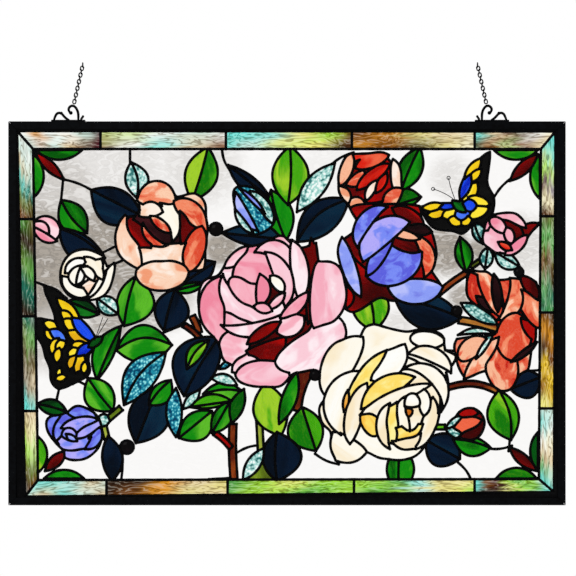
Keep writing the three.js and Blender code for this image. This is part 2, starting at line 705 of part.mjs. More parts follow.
// A channel bar, its two lips over the panel's edge, mitred at both ends
function channelBar(length) {
  const half = solderDeep / 2 + channelPlay + channelLip;
  const slot = solderDeep / 2 + channelPlay;
  const section = new THREE.Shape([
    [0, -half], [channelFace, -half], [channelFace, -slot], [channelWeb, -slot],
    [channelWeb, slot], [channelFace, slot], [channelFace, half], [0, half],
  ].map(([x, y]) => new THREE.Vector2(x, y)));
  const bar = solid(new THREE.ExtrudeGeometry(section, { depth: length, bevelEnabled: false })
    .rotateY(-Math.PI / 2).rotateX(-Math.PI / 2).translate(length / 2, 0, 0));
  const reach = length / 2 - mitreGap;
  const mitre = [
    [-reach, 0], [-reach + channelFace, channelFace], [reach - channelFace, channelFace], [reach, 0],
  ].map(([x, y]) => new THREE.Vector2(x, y));
  return bar.intersect(prism(mitre, -through, through));
}

function addFrame() {
  const sides = [
    ['frame_bottom', panelWide, 0, panelTall / 2],
    ['frame_right', panelTall, 90, panelWide / 2],
    ['frame_top', panelWide, 180, panelTall / 2],
    ['frame_left', panelTall, 270, panelWide / 2],
  ];
  for (const [name, length, turn, reach] of sides) {
    addMetal(name, channelBar(length).translate([0, -reach, 0]).rotate([0, 0, turn]));
  }
}

// Scroll hangers. Points are in squares from the hanger's middle and from the frame's top edge, y down.
const scrollLines = {
  arch: [[5, -1.5], [4.6, -8], [3, -13.5], [-1, -15.8], [-4.3, -12.5], [-3.2, -8.6]],
  curl: [[-4, -1.5], [-9.5, -5.5], [-13, -9], [-17.5, -6], [-19.5, -1.5]],
  bud: [[8.5, -1.5], [9.6, -5]],
};
const scrollBalls = [[-2.2, -8.2, 2], [-12, -8.4, 1.8], [9.8, -5.4, 1.4]];

function scrollHanger(middle, mirror) {
  const spot = ([x, y]) => new THREE.Vector3(middle + mirror * x * square, panelTall / 2 - y * square, 0);
  const lift = scrollFootThick / 2 + seatGap;
  const foot = new THREE.BoxGeometry(scrollFootLong, scrollFootThick, scrollFootDeep)
    .translate(middle - mirror * 5 * square, panelTall / 2 + lift, 0);
  const strokes = Object.values(scrollLines).map((line) => (
    tube(line.map(spot), scrollThick / 2, 4, 2 * (line.length - 1))
  ));
  const balls = scrollBalls.map(([x, y, radius]) => {
    const { x: bx, y: by } = spot([x, y]);
    return solid(new THREE.SphereGeometry(radius * square, 6, 5).translate(bx, by, 0));
  });
  return join([solid(foot), ...strokes, ...balls]);
}

// An oval ring of chain wire, standing on its end
function link() {
  const halfLong = (chainLinkLong - chainWire) / 2;
  const halfWide = (chainLinkWide - chainWire) / 2;
  const points = Array.from({ length: linkBends }, (unused, i) => {
    const turn = (2 * Math.PI * i) / linkBends;
    return new THREE.Vector3(halfWide * Math.sin(turn), halfLong * Math.cos(turn), 0);
  });
  return new THREE.TubeGeometry(new THREE.CatmullRomCurve3(points, true), linkBends, chainWire / 2, 4, true);
}

// A short chain leaning from the hanger's arch up to the top, every other link turned a quarter
function chain(middle, side) {
  const foot = new THREE.Vector2(middle + side * 0.5, panelTall / 2 + chainFoot);
  const rise = hangDrop - foot.y;
  const count = Math.floor(Math.hypot(rise, chainLean) / (chainLinkLong - 2 * chainWire));
  const links = Array.from({ length: count }, (unused, i) => {
    const t = (i + 0.5) / count;
    const ring = i % 2 === 0 ? link().rotateY(Math.PI / 2) : link();
    ring.rotateZ(-side * Math.atan2(chainLean, rise)).translate(foot.x + side * chainLean * t, foot.y + rise * t, 0);
    return solid(ring);
  });
  return join(links);
}

// Pairs of wire feelers in front of the glass, joined at the butterfly's head
const antennae = {
  antennae_left: { head: [95, 340], tips: [[103, 317], [108, 318.5]], sway: 0, ring: 0 },
  antennae_right: { head: [455.5, 201], tips: [[433, 189], [448.5, 178]], sway: 2, ring: 1.6 },
};

function antennaPair({ head, tips, sway, ring }) {
  const lift = solderFront + antennaLift + antennaWire;
  const at = ([x, y]) => {
    const flat = place(x, y);
    return new THREE.Vector3(flat.x, flat.y, lift);
  };
  const foot = at(head);
  const wires = tips.map((tip, i) => {
    const middle = [(head[0] + tip[0]) / 2 + sway * (i ? -1 : 1), (head[1] + tip[1]) / 2 - sway];
    return tube([foot, at(middle), at(tip)], antennaWire / 2, 4, sway ? 3 : 1);
  });
  const ends = ring ? tips.map((tip) => {
    const { x, y } = at(tip);
    return solid(new THREE.TorusGeometry(ring * square, antennaWire / 2, 4, 6).translate(x, y, lift));
  }) : [];
  const bead = solid(new THREE.SphereGeometry(antennaWire, 5, 4).translate(foot.x, foot.y, lift));
  return join([bead, ...wires, ...ends]);
}

// Lay the picture from its uppermost figures down, then the metal round it
layJewels();
for (const corner of [...cornerLeaves].reverse()) {
  overlays.push({ blade: asBlade(corner) });
}
for (const [name, butterfly] of Object.entries(butterflies).reverse()) {
  layButterfly(name, butterfly);
}
for (const [name, flower] of Object.entries(flowers).reverse()) {
  layFlower(name, flower);
}
for (const leaf of [...leaves].reverse()) {
  layLeaf(leaf);
}
for (const stem of [...stems].reverse()) {
  overlays.push({ blade: stemBlade(stem) });
}
layPanes();
layBorder();
addLattice();
addFrame();
for (const [side, middle, mirror] of [
  ['left', hangerLeft - panelWide / 2, 1], ['right', panelWide / 2 - hangerRight, -1],
]) {
  addMetal(`hanger_${side}`, scrollHanger(middle, mirror));
  addMetal(`chain_${side}`, chain(middle, mirror));
}
for (const [name, pair] of Object.entries(antennae)) {
  addMetal(name, antennaPair(pair));
}

// Stand the panel upright, front towards -Y, and hang it from the chains' upper ends
group.rotation.x = Math.PI / 2;
group.position.z = -hangDrop;

export default group;
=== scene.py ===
import bpy
import bmesh
import json
import math
import random
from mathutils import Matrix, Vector
from mathutils.geometry import delaunay_2d_cdt


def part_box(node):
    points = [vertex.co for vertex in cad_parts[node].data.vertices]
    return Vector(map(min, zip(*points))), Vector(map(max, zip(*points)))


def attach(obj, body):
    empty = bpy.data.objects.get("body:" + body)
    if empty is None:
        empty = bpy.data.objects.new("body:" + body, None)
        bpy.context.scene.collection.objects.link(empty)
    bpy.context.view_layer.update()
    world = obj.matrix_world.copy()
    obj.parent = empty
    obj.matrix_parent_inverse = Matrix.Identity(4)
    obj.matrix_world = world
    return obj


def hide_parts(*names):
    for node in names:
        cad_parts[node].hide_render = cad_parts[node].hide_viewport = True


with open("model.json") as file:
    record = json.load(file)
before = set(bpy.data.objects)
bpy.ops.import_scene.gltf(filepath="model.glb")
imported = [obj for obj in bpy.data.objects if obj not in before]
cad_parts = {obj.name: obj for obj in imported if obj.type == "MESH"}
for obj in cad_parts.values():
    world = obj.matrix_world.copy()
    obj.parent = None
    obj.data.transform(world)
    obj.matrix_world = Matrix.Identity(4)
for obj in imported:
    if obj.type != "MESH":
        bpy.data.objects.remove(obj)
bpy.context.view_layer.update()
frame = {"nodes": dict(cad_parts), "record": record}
random.seed(11)
print("frame loaded", len(frame["nodes"]), "nodes")

# The picture is drawn on a cartoon ruled in squares, x to the right and y down
panel = {
    "wide": 0.813, "tall": 0.560, "middle": -0.365,     # metres, and the height of its middle
    "squaresLeft": 8.5, "squaresTop": 121.5, "squaresAcross": 557, "squaresDown": 383.5,
    "glassHalf": 0.0015, "plateEdge": 0.0023,
}
square = panel["wide"] / panel["squaresAcross"]
squareTall = panel["tall"] / panel["squaresDown"]


def place(x, y):
    return Vector(((x - panel["squaresLeft"] - panel["squaresAcross"] / 2) * square,
                   (panel["squaresTop"] + panel["squaresDown"] / 2 - y) * squareTall + panel["middle"]))


# Stems: start, end, half width, bow, glass
stems = {
    "trunk": (234, 479, 233, 424, 3.6, 1, "brown"),
    "branch": (231, 448, 215, 433, 2.6, -1, "ruby"),
    "olive": (261, 454, 259, 414, 3, 0, "olive"),
    "rose": (311, 369, 297, 411, 4, -3, "brown"),
    "twigA": (192, 316, 199, 333, 3.2, 1, "brown"),
    "twigB": (184, 325, 200, 338, 2.6, 1, "brown"),
    "right": (446, 388, 501, 393, 2.9, 7, "brown"),
    "coral": (459, 320, 498, 329, 3.4, 1, "brown"),
    "thorn": (438, 294, 468, 272, 2.8, 1, "brown"),
    "bud": (471, 267, 481, 260, 2.2, 0, "olive"),
    "small": (435, 427, 445, 427, 2.4, 0, "lime"),
    "blue": (104, 426, 107, 439, 2.7, 0, "olive"),
    "bluePair": (108, 419, 121, 408, 2.9, 0, "olive"),
}

# Leaves: foot, tip, swell to the left and right, bow of the midrib, bluntness, glass.
# Later ones lie over earlier ones.
leaves = {
    "leafBud": (61, 200, 87, 233, 12, 16, -3, .4, "green"),
    "navyLeft": (91, 190, 142, 216, 14, 23, 0, .5, "navy"),
    "navyBud": (59, 228, 105, 258, 8, 18, 4, .5, "navy"),
    "tealTop": (137, 198, 131, 162, 9, 15, -4, .3, "aqua"),
    "greenRose": (192, 201, 208, 147, 15, 18, -1, .45, "lime"),
    "navyRose": (183, 283, 215, 262, 11, 11, 0, .7, "navy"),
    "thinGreen": (173, 291, 205, 283, 4, 6, 0, .3, "green"),
    "greenPair": (124, 326, 136, 276, 13, 25, 2, .6, "green"),
    "navyPair": (164, 331, 175, 289, 15, 20, 1, .6, "navy"),
    "darkPair": (68, 301, 99, 314, 8, 10, 0, .6, "forest"),
    "aquaPair": (97, 298, 118, 314, 10, 9, 0, .9, "aqua"),
    "navyBudLow": (222, 233, 291, 240, 12, 10, 0, .5, "navy"),
    "blueTip": (228, 165, 271, 199, 6, 10, 0, .4, "navy"),
    "greenLow": (286, 241, 271, 190, 11, 15, 2, .5, "green"),
    "greenTop": (288, 205, 290, 146, 17, 20, -2, .5, "lime"),
    "aquaTip": (297, 212, 335, 163, 12, 9, None, .4, "aqua"),
    "navyMid": (297, 242, 349, 199, 20, 13, 8, .5, "navy"),
    "greenRed": (401, 191, 420, 147, 12, 12, 1, .5, "green"),
    "greenRedLow": (397, 205, 421, 197, 13, 5, 0, .6, "green"),
    "limeMid": (374, 331, 365, 284, 17, 20, -3, .6, "lime"),
    "navyRight": (395, 299, 461, 318, 15, 21, 3, .7, "navy"),
    "greenStub": (466, 272, 460, 237, 8, 10, 1, .5, "green"),
    "tealA": (483, 244, 474, 222, 6, 8, 1, .9, "aqua"),
    "tealB": (485, 269, 488, 247, 7, 7, 0, .9, "aqua"),
    "aquaB": (495, 252, 520, 267, 6, 10, 0, .9, "aqua"),
    "aquaC": (461, 303, 504, 323, 6, 9, None, .9, "aqua"),
    "coralLeaf": (458, 335, 495, 334, 7, -1, None, .5, "aqua"),
    "greenWing": (97, 380, 121, 326, 16, 5, 1, .6, "green"),
    "greenBig": (116, 350, 172, 345, 23, 15, 10, .6, "green"),
    "greenBlue": (113, 411, 88, 378, 17, 13, 1, .6, "green"),
    "aquaCup": (97, 419, 110, 421, 7, 7, None, .9, "aqua"),
    "darkCorner": (37, 404, 67, 412, 9, 7, 1, .6, "forest"),
    "tealBig": (124, 405, 166, 352, 21, 10, 7, .4, "teal"),
    "navyLow": (136, 443, 158, 387, 18, 23, 0, .7, "navy"),
    "navyJewel": (112, 481, 108, 436, 8, 13, None, .6, "navy"),
    "greenSmall": (149, 405, 171, 380, 8, 12, 2, .6, "green"),
    "tealLow": (176, 437, 176, 388, 10, 6, None, .5, "teal"),
    "aquaLow": (183, 409, 200, 390, 5, 5, None, .5, "aqua"),
    "navyHeart": (184, 396, 219, 337, 30, 15, 2, .8, "navy"),
    "greenHeart": (187, 369, 209, 340, 11, 4, 4, .4, "lime"),
    "greenA": (242, 391, 203, 394, 6, 10, -3, .6, "green"),
    "greenB": (232, 401, 190, 407, 4, 10, 0, .5, "lime"),
    "greenC": (212, 411, 179, 438, 17, 12, 0, .6, "green"),
    "greenD": (230, 401, 212, 433, 11, 8, 0, .7, "green"),
    "greenE": (244, 389, 232, 423, 6, 8, None, .6, "green"),
    "tealBit": (219, 369, 231, 361, 3, 4, None, .6, "teal"),
    "aquaBit": (211, 378, 237, 385, 8, 3, None, .7, "aqua"),
    "limeDrop": (281, 436, 265, 383, 20, 14, None, .6, "lime"),
    "greenDrop": (279, 424, 297, 372, 6, 9, None, .6, "green"),
    "limeLow": (316, 451, 302, 407, 22, 14, 0, .7, "lime"),
    "navyDrop": (277, 481, 277, 432, 15, 25, 2, .8, "navy"),
    "aquaDrop": (243, 480, 264, 448, 7, 7, None, .5, "aqua"),
    "oliveBit": (263, 480, 260, 468, 4, 4, None, .6, "olive"),
    "greenCup": (399, 491, 400, 447, 13, 15, 1, .9, "green"),
    "navyCream": (426, 440, 460, 459, 17, 18, 0, .8, "navy"),
    "greenBud": (491, 448, 453, 439, 13, 7, -2, .5, "green"),
    "limeRight": (511, 440, 499, 390, 18, 14, -5, .6, "lime"),
    "navyCoral": (510, 389, 541, 377, 13, 16, 0, .8, "navy"),
    "redTl": (35, 152, 64, 180, 5, 5, None, .3, "ruby"),
    "redTr": (538, 154, 510, 181, 6, 6, None, .3, "ruby"),
    "redBl": (45, 471, 66, 451, 6, 6, None, .4, "ruby"),
    "redBr": (537, 471, 509, 447, 6, 5, None, .4, "ruby"),
}

# Petals and wings of each figure, lowest first: start, end, swell to the left and right, bluntness, glass
flowers = {
    "blueBud": [
        (236, 192, 258, 231, 1, 10, .6, "lilac"), (235, 209, 254, 234, 1, 6, .5, "aqua"),
        (250, 191, 273, 224, 9, 3, .7, "aqua"), (239, 189, 271, 228, 3, 5, .5, "teal"),
        (239, 188, 265, 214, 4, 1, .5, "lilac"),
    ],
    "corner": [
        (36, 150, 82, 150, 0, 10, .45, "green"), (33, 198, 33, 154, 0, 11, .45, "green"),
        (494, 150, 538, 150, 0, 10, .45, "green"), (540, 155, 540, 199, 0, 10, .45, "green"),
        (37.5, 473, 37.5, 436, 0, 10, .45, "lime"), (84, 478.5, 44, 478.5, 0, 9, .45, "green"),
        (538, 432, 538, 470, 0, 8, .45, "forest"), (537, 478.5, 496, 478.5, 0, 11, .45, "lime"),
    ],
    "budPink": [
        (34, 221, 59, 237, 13, 12, .9, "pink"), (34, 227, 57, 241, 1, 8, .7, "pink"),
        (34, 222, 49, 234, 7, 2, .6, "pink"),
    ],
    "roseWhite": [
        (114, 263, 99, 298, 5, 5, .7, "cream"), (60, 276, 107, 274, 26, 25, 1, "cream"),
        (66, 265, 105, 258, 8, 0, .8, "peach"), (84, 299, 104, 262, -3, 9, .8, "cream"),
        (62, 276, 88, 296, 4, 10, .8, "cream"), (65, 273, 86, 260, 8, 4, .8, "cream"),
        (84, 257, 103, 280, 8, 3, .8, "cream"), (68, 276, 96, 280, 13, 10, 1, "cream"),
        (80, 286, 96, 276, 1, 7, .8, "peach"), (80, 268, 94, 281, 8, 2, .8, "cream"),
        (76, 285, 80, 268, 1, 7, .5, "cream"),
    ],
    "roseSmallBlue": [
        (54, 432, 97, 430, 21, 22, 1, "blue"), (66, 457, 92, 450, 4, 6, .8, "blue"),
        (85, 449, 100, 427, 3, 9, .8, "blue"), (67, 413, 97, 418, 8, 4, .8, "blue"),
        (52, 436, 61, 415, 8, 0, .8, "blue"), (56, 441, 65, 416, 7, 4, .8, "blue"),
        (61, 428, 98, 420, 7, 3, .8, "blue"), (75, 438, 98, 424, 5, 5, .8, "blue"),
        (57, 444, 91, 437, -2, 10, .9, "blue"), (61, 434, 77, 436, 8, 5, .9, "blue"),
        (66, 434, 77, 441, 3, 4, .6, "lilac"),
    ],
    "rosePeach": [
        (130, 232, 190, 232, 30, 32, 1, "ruby"), (137, 200, 176, 201, 20, 6, .9, "salmon"),
        (174, 201, 204, 228, 14, 7, .9, "salmon"), (202, 226, 189, 272, 10, 12, .8, "salmon"),
        (125, 215, 141, 269, 5, 15, .8, "peach"), (135, 274, 189, 272, 13, 18, 1, "peach"),
        (139, 248, 186, 243, 1, 16, .7, "peach"), (127, 218, 151, 248, 7, 8, .6, "ruby"),
        (139, 216, 163, 212, 13, 3, .9, "peach"), (180, 211, 181, 244, 9, 1, .6, "ruby"),
        (160, 203, 172, 242, 14, -2, .8, "cream"), (150, 216, 171, 233, 5, 5, .7, "coral"),
        (143, 223, 168, 245, -3, 11, .8, "coral"), (149, 225, 170, 238, 1, 8, .8, "plum"),
    ],
    "roseRed": [
        (340, 181, 402, 178, 22, 24, .9, "ruby"), (340, 186, 352, 153, 6, 7, .7, "coral"),
        (355, 168, 389, 155, 8, 6, .8, "red"), (393, 159, 394, 190, 8, 3, .8, "peach"),
        (339, 187, 349, 202, 7, 2, .8, "peach"), (349, 208, 365, 202, 9, 4, .9, "peach"),
        (383, 202, 403, 189, 7, 5, .8, "coral"), (346, 185, 364, 170, 3, 9, .8, "coral"),
        (357, 190, 390, 164, 8, 5, .8, "red"), (366, 201, 378, 180, 6, 3, .7, "peach"),
        (376, 193, 387, 173, 4, 5, .7, "red"),
    ],
    "roseBlue": [
        (343, 285, 346, 309, 10, 0, .6, "ruby"), (350, 252, 400, 290, -4, 12, .7, "ruby"),
        (392, 208, 424, 226, 9, 6, .8, "ruby"), (407, 229, 432, 232, 7, 5, .6, "plum"),
        (409, 236, 424, 278, 19, -3, .9, "salmon"), (342, 237, 361, 297, 5, 10, .7, "lilac"),
        (388, 288, 443, 287, 9, 17, .8, "lilac"), (366, 276, 422, 252, 15, 21, .8, "blue"),
        (388, 240, 419, 252, 11, 5, .8, "ruby"), (386, 230, 420, 239, 5, 5, .6, "coral"),
        (394, 229, 367, 276, 7, 8, .8, "blue"), (363, 262, 410, 222, 24, 2, .9, "blue"),
        (358, 248, 388, 207, 18, -3, .9, "blue"),
    ],
    "roseCoral": [
        (470, 272, 497, 312, 7, 13, .8, "coral"), (521, 276, 538, 300, 8, 5, .8, "ruby"),
        (516, 290, 539, 328, 12, 6, .9, "salmon"), (476, 296, 492, 312, 5, 4, .6, "plum"),
        (478, 272, 500, 317, 12, 6, .7, "salmon"), (510, 278, 497, 320, 20, -4, .8, "salmon"),
        (494, 274, 498, 312, 6, 4, .6, "plum"), (501, 353, 531, 346, -6, 20, .9, "coral"),
        (497, 343, 506, 392, 17, 16, .8, "coral"), (516, 312, 510, 361, 19, 17, .8, "salmon"),
        (521, 318, 535, 341, 6, 4, .6, "ruby"), (511, 362, 537, 342, 2, 4, .5, "plum"),
        (499, 337, 464, 379, 7, 7, .6, "salmon"), (487, 339, 459, 361, 7, 13, .9, "coral"),
        (493, 334, 476, 359, 2.5, 3, .5, "aqua"),
    ],
    "rosePink": [
        (226, 300, 316, 300, 48, 62, 1, "ruby"), (311, 238, 308, 324, 10, 3, .7, "ruby"),
        (318, 261, 314, 328, 31, 6, 1, "blush"), (219, 312, 252, 323, 3, 10, .8, "blush"),
        (221, 276, 222, 339, 3, 23, .9, "pink"),
        (219, 344, 250, 344, 14, 17, 1, "pink"), (224, 268, 248, 246, 5, 7, .6, "pink"),
        (234, 268, 258, 246, 3, 6, .6, "ruby"),
        (254, 253, 293, 268, 21, 5, .9, "blush"), (292, 240, 300, 301, 13, 5, .7, "blush"),
        (232, 276, 281, 276, 24, 8, .9, "pink"), (265, 252, 285, 307, 18, 0, .8, "blush"),
        (223, 274, 272, 315, -7, 25, .9, "blush"), (229, 278, 251, 305, 12, 7, .9, "pink"),
        (260, 274, 258, 306, 12, 3, .8, "pink"), (270, 276, 284, 292, 7, 5, .8, "cream"),
        (268, 309, 285, 293, 4, 5, .7, "pink"), (254, 306, 272, 311, 6, 5, .7, "pink"),
        (221, 325, 284, 313, -4, 18, .6, "blush"), (247, 344, 281, 322, 7, 5, .6, "ruby"),
        (246, 351, 286, 337, 2, 18, .8, "ruby"), (280, 318, 308, 292, 4, 9, .7, "pink"),
        (277, 333, 304, 316, 8, 12, .8, "pink"),
        (232, 372, 260, 361, 11, 4, .9, "pink"), (235, 376, 290, 376, 16, 11, 1, "blush"),
        (275, 365, 345, 325, 13, 23, 1, "blush"),
    ],
    "roseCream": [
        (344, 400, 441, 400, 46, 52, .9, "cream"), (409, 338, 445, 342, 9, 8, 1, "cream"),
        (408, 354, 451, 373, 17, -2, .9, "cream"), (401, 370, 441, 412, 28, -13, .9, "cream"),
        (353, 370, 411, 347, 30, -6, 1, "cream"), (326, 397, 363, 337, 21, 9, .9, "cream"),
        (333, 432, 367, 452, 4, 22, .9, "cream"), (341, 435, 362, 371, 28, -7, .8, "cream"),
        (344, 412, 348, 390, 3, 3, .4, "amber"), (350, 444, 367, 383, 13, 5, .8, "cream"),
        (371, 380, 405, 344, 6, 16, .8, "cream"), (352, 389, 387, 350, 7, 5, .3, "butter"),
        (362, 432, 422, 449, -3, 19, .8, "cream"), (361, 414, 376, 437, 12, 6, .9, "butter"),
        (361, 409, 415, 377, 17, 4, .5, "butter"), (360, 415, 432, 384, 9, 4, .5, "cream"),
        (416, 449, 433, 397, 3, 12, .8, "cream"), (390, 449, 390, 403, 14, -2, .8, "cream"),
        (392, 441, 421, 433, -1, 13, .8, "cream"), (396, 441, 397, 402, 10, 2, .7, "butter"),
        (396, 428, 423, 424, 1, 12, .8, "butter"), (397, 406, 422, 405, 10, 26, .9, "cream"),
        (424, 416, 424, 389, 5, 7, .9, "cream"), (404, 405, 421, 404, 12, 3, .9, "cream"),
        (410, 431, 402, 401, 9, 2, .6, "cream"), (405, 409, 414, 410, 2, 8, .7, "amber"),
    ],
    "roseSmallPink": [
        (523, 227, 539, 224, 3, 4, .6, "ruby"), (487, 233, 524, 236, 15, 16, .9, "ruby"),
        (489, 218, 505, 233, 8, 5, .9, "pink"), (503, 215, 526, 228, 7, 2, .8, "pink"),
        (484, 231, 500, 253, 8, 6, .9, "blush"), (505, 255, 527, 235, 4, 7, .8, "pink"),
        (507, 227, 511, 244, 6, 5, .9, "pink"), (498, 242, 512, 250, 4, 4, .7, "red"),
    ],
    "budRed": [
        (454, 424, 485, 421, 15, 18, .9, "plum"), (446, 429, 462, 416, 4, 3, .6, "aqua"),
        (446, 429, 463, 435, 3, 5, .6, "aqua"), (459, 416, 479, 413, 7, 3, .7, "ruby"),
        (459, 437, 484, 421, 2, 8, .7, "ruby"), (454, 428, 482, 420, 7, 6, .6, "red"),
    ],
    "butterflyLeft": [
        (58, 299, 78, 317, 3, 4, .4, "yellow"),
        (62, 312, 71, 320, 3, 3, .5, "yellow"), (65, 320, 74, 330, 4, 3, .9, "yellow"),
        (69, 332, 92, 343, 4, 5, .7, "yellow"), (73, 319, 94, 341, 3, 4, .4, "sky"),
        (45, 323, 56, 327, 3, 3, .7, "yellow"), (46, 331, 51, 339, 2, 2, .7, "yellow"),
        (51, 331, 65, 340, 4, 3, .5, "sky"), (52, 352, 58, 340, 4, 2, .8, "yellow"),
        (57, 348, 64, 342, 3, 3, .8, "yellow"), (57, 361, 59, 350, 3, 2, .8, "yellow"),
        (73, 345, 84, 344, 2, 2, .7, "yellow"), (69, 355, 77, 350, 3, 2, .8, "yellow"),
        (78, 355, 92, 345, 4, 3, .5, "sky"), (70, 368, 75, 357, 4, 1, .6, "yellow"),
        (76, 371, 83, 357, 3, 3, .7, "yellow"), (84, 372, 85, 363, 2, 2, .5, "yellow"),
        (58, 375, 60, 369, 1.5, 1.5, .6, "yellow"), (57, 379, 65, 377, 2, 2, .7, "yellow"),
        (90, 346, 101, 338, 2.2, 2.2, .8, "forest"),
    ],
    "butterflyRight": [
        (466, 178, 480, 160, 3, 3, .5, "yellow"), (472, 180, 480, 171, 3, 2, .7, "yellow"),
        (464, 200, 476, 184, 3, 5, .8, "yellow"), (470, 198, 488, 204, 3, 3, .8, "yellow"),
        (471, 217, 487, 209, 4, 3, .8, "yellow"), (461, 198, 470, 176, 3, 3, .4, "sky"),
        (464.5, 205, 475, 206, 4.5, 4.5, .9, "sky"), (424, 208, 441, 205, 2, 3, .6, "yellow"),
        (429, 215, 442, 214, 2, 3, .8, "yellow"), (444, 217, 452, 212, 3, 3, .8, "yellow"),
        (450, 219, 461, 223, 3, 4, .8, "yellow"), (463, 224, 470, 219, 3, 3, .8, "yellow"),
        (441, 208, 455, 206, 2, 1, .6, "sky"), (456.5, 214, 466, 215, 4, 4, .9, "sky"),
        (454, 202, 464, 211, 2.5, 2.5, .8, "forest"),
    ],
}

# The broad outline behind each figure's petals, clockwise, and its glass
outlines = {
    "blueBud": ("navy", [
        (233, 190), (242, 186), (256, 189), (272, 205), (275, 222), (262, 233), (248, 233), (237, 214)]),
    "roseWhite": ("cream", [
        (66, 262), (70, 254), (85, 249), (101, 255), (107, 266), (115, 266), (109, 290), (97, 299),
        (81, 300), (68, 295), (60, 281), (63, 271)]),
    "roseSmallBlue": ("blue", [
        (48, 417), (66, 414), (77, 405), (97, 415), (102, 432), (99, 447), (85, 459), (66, 459),
        (64, 451), (55, 442), (47, 430)]),
    "rosePeach": ("peach", [
        (139, 194), (146, 187), (160, 181), (171, 187), (177, 197), (194, 193), (205, 202), (206, 218),
        (208, 230), (205, 245), (204, 269), (187, 271), (177, 285), (163, 289), (142, 284), (136, 274),
        (137, 266), (126, 262), (118, 253), (115, 238), (118, 226), (127, 217), (139, 215), (139, 201)]),
    "roseRed": ("red", [
        (346, 156), (355, 154), (384, 154), (389, 162), (397, 162), (400, 178), (402, 190), (396, 203),
        (364, 204), (359, 208), (348, 204), (339, 193), (339, 181), (342, 166)]),
    "roseBlue": ("ruby", [
        (350, 208), (364, 204), (386, 204), (419, 206), (421, 222), (431, 230), (437, 256), (430, 268),
        (441, 286), (430, 297), (392, 301), (380, 297), (358, 311), (345, 309), (347, 284), (339, 260),
        (339, 244), (355, 231), (358, 222)]),
    "roseCoral": ("coral", [
        (469, 270), (480, 272), (487, 271), (498, 280), (516, 278), (524, 281), (536, 282), (538, 296),
        (541, 306), (536, 328), (536, 340), (530, 350), (529, 369), (521, 373), (513, 385), (505, 391),
        (492, 385), (485, 371), (467, 378), (460, 370), (456, 357), (457, 339), (494, 335), (496, 320),
        (484, 310), (468, 298), (467, 282)]),
    "rosePink": ("blush", [
        (218, 276), (204, 280), (198, 298), (202, 318), (213, 336), (220, 346), (223, 360), (233, 366),
        (238, 380), (256, 384), (280, 387), (292, 374), (312, 367), (321, 360), (328, 348), (343, 338),
        (344, 322), (336, 314), (344, 300), (345, 284), (340, 267), (328, 261), (318, 262), (316, 243),
        (304, 248), (292, 244), (281, 235), (262, 244), (240, 249), (227, 262)]),
    "roseCream": ("cream", [
        (363, 329), (373, 324), (388, 328), (408, 332), (420, 329), (442, 334), (445, 350), (455, 354),
        (455, 362), (446, 373), (447, 391), (440, 411), (437, 425), (428, 441), (416, 456), (398, 459),
        (379, 458), (367, 452), (359, 460), (338, 462), (335, 455), (331, 445), (331, 431), (323, 425),
        (319, 412), (320, 405), (327, 396), (321, 388), (320, 371), (326, 353), (338, 341), (353, 340),
        (362, 335)]),
    "roseSmallPink": ("ruby", [
        (490, 216), (516, 213), (524, 225), (535, 225), (525, 241), (513, 253), (497, 252),
        (483, 243), (484, 231)]),
    "butterflyLeft": ("black", [
        (44, 286), (57, 290), (66, 299), (79, 317), (89, 327), (97, 342), (91, 350), (88, 360),
        (90, 374), (72, 384), (59, 389), (51, 382), (50, 367), (45, 357), (43, 346), (35, 333),
        (35, 319), (45, 319), (55, 322), (53, 310), (48, 299)]),
    "butterflyRight": ("black", [
        (461, 199), (461, 184), (471, 168), (488, 152), (490, 159), (487, 184), (494, 196),
        (493, 213), (487, 219), (474, 224), (462, 235), (455, 231), (433, 228), (421, 209),
        (424, 206), (443, 203), (455, 203)]),
}

# Jewels: centre and radius
jewels = [(216, 229, 7), (519, 272, 5.2), (457, 311, 5.5), (127, 447, 7.5), (315, 375, 5.5)]

# Cracks and cuts across the clear glass: start, end and bow
cuts = [
    (64, 180, 92, 191, 2), (63, 181, 61, 201, 0), (130, 150, 130, 163, 0), (510, 180, 495, 197, -2),
    (223, 150, 231, 170, -3), (333, 164, 351, 154, 2), (102, 253, 114, 247, 0), (107, 267, 119, 262, 0),
    (34, 282, 64, 297, 2), (528, 226, 541, 222, 0), (490, 448, 509, 446, -2), (510, 439, 509, 448, 0),
    (460, 465, 470, 479, 2), (443, 350, 458, 351, 0), (446, 373, 448, 386, 1),
    (458, 360, 460, 368, 0), (57, 398, 59, 389, 0),
    (541, 370, 529, 371, 0), (165, 332, 180, 326, 0), (62, 384, 70, 384, 0), (82, 383, 88, 386, 0),
    (238, 453, 262, 446, 3), (122, 455, 121, 479, 1), (345, 337, 361, 337, -2), (318, 455, 336, 463, -2),
    (230, 478, 212, 479, 0),
]

# Corners of the field, the strips and the edge lead, clockwise from the upper left
fieldCorners = [(33, 149), (541, 149), (539, 479), (38, 480)]
stripCorners = [(17, 131), (555.5, 131.5), (554, 492), (25, 496.5)]
plateCorners = [(10.5, 123.5), (563.5, 123.5), (563.5, 503), (10.5, 503)]

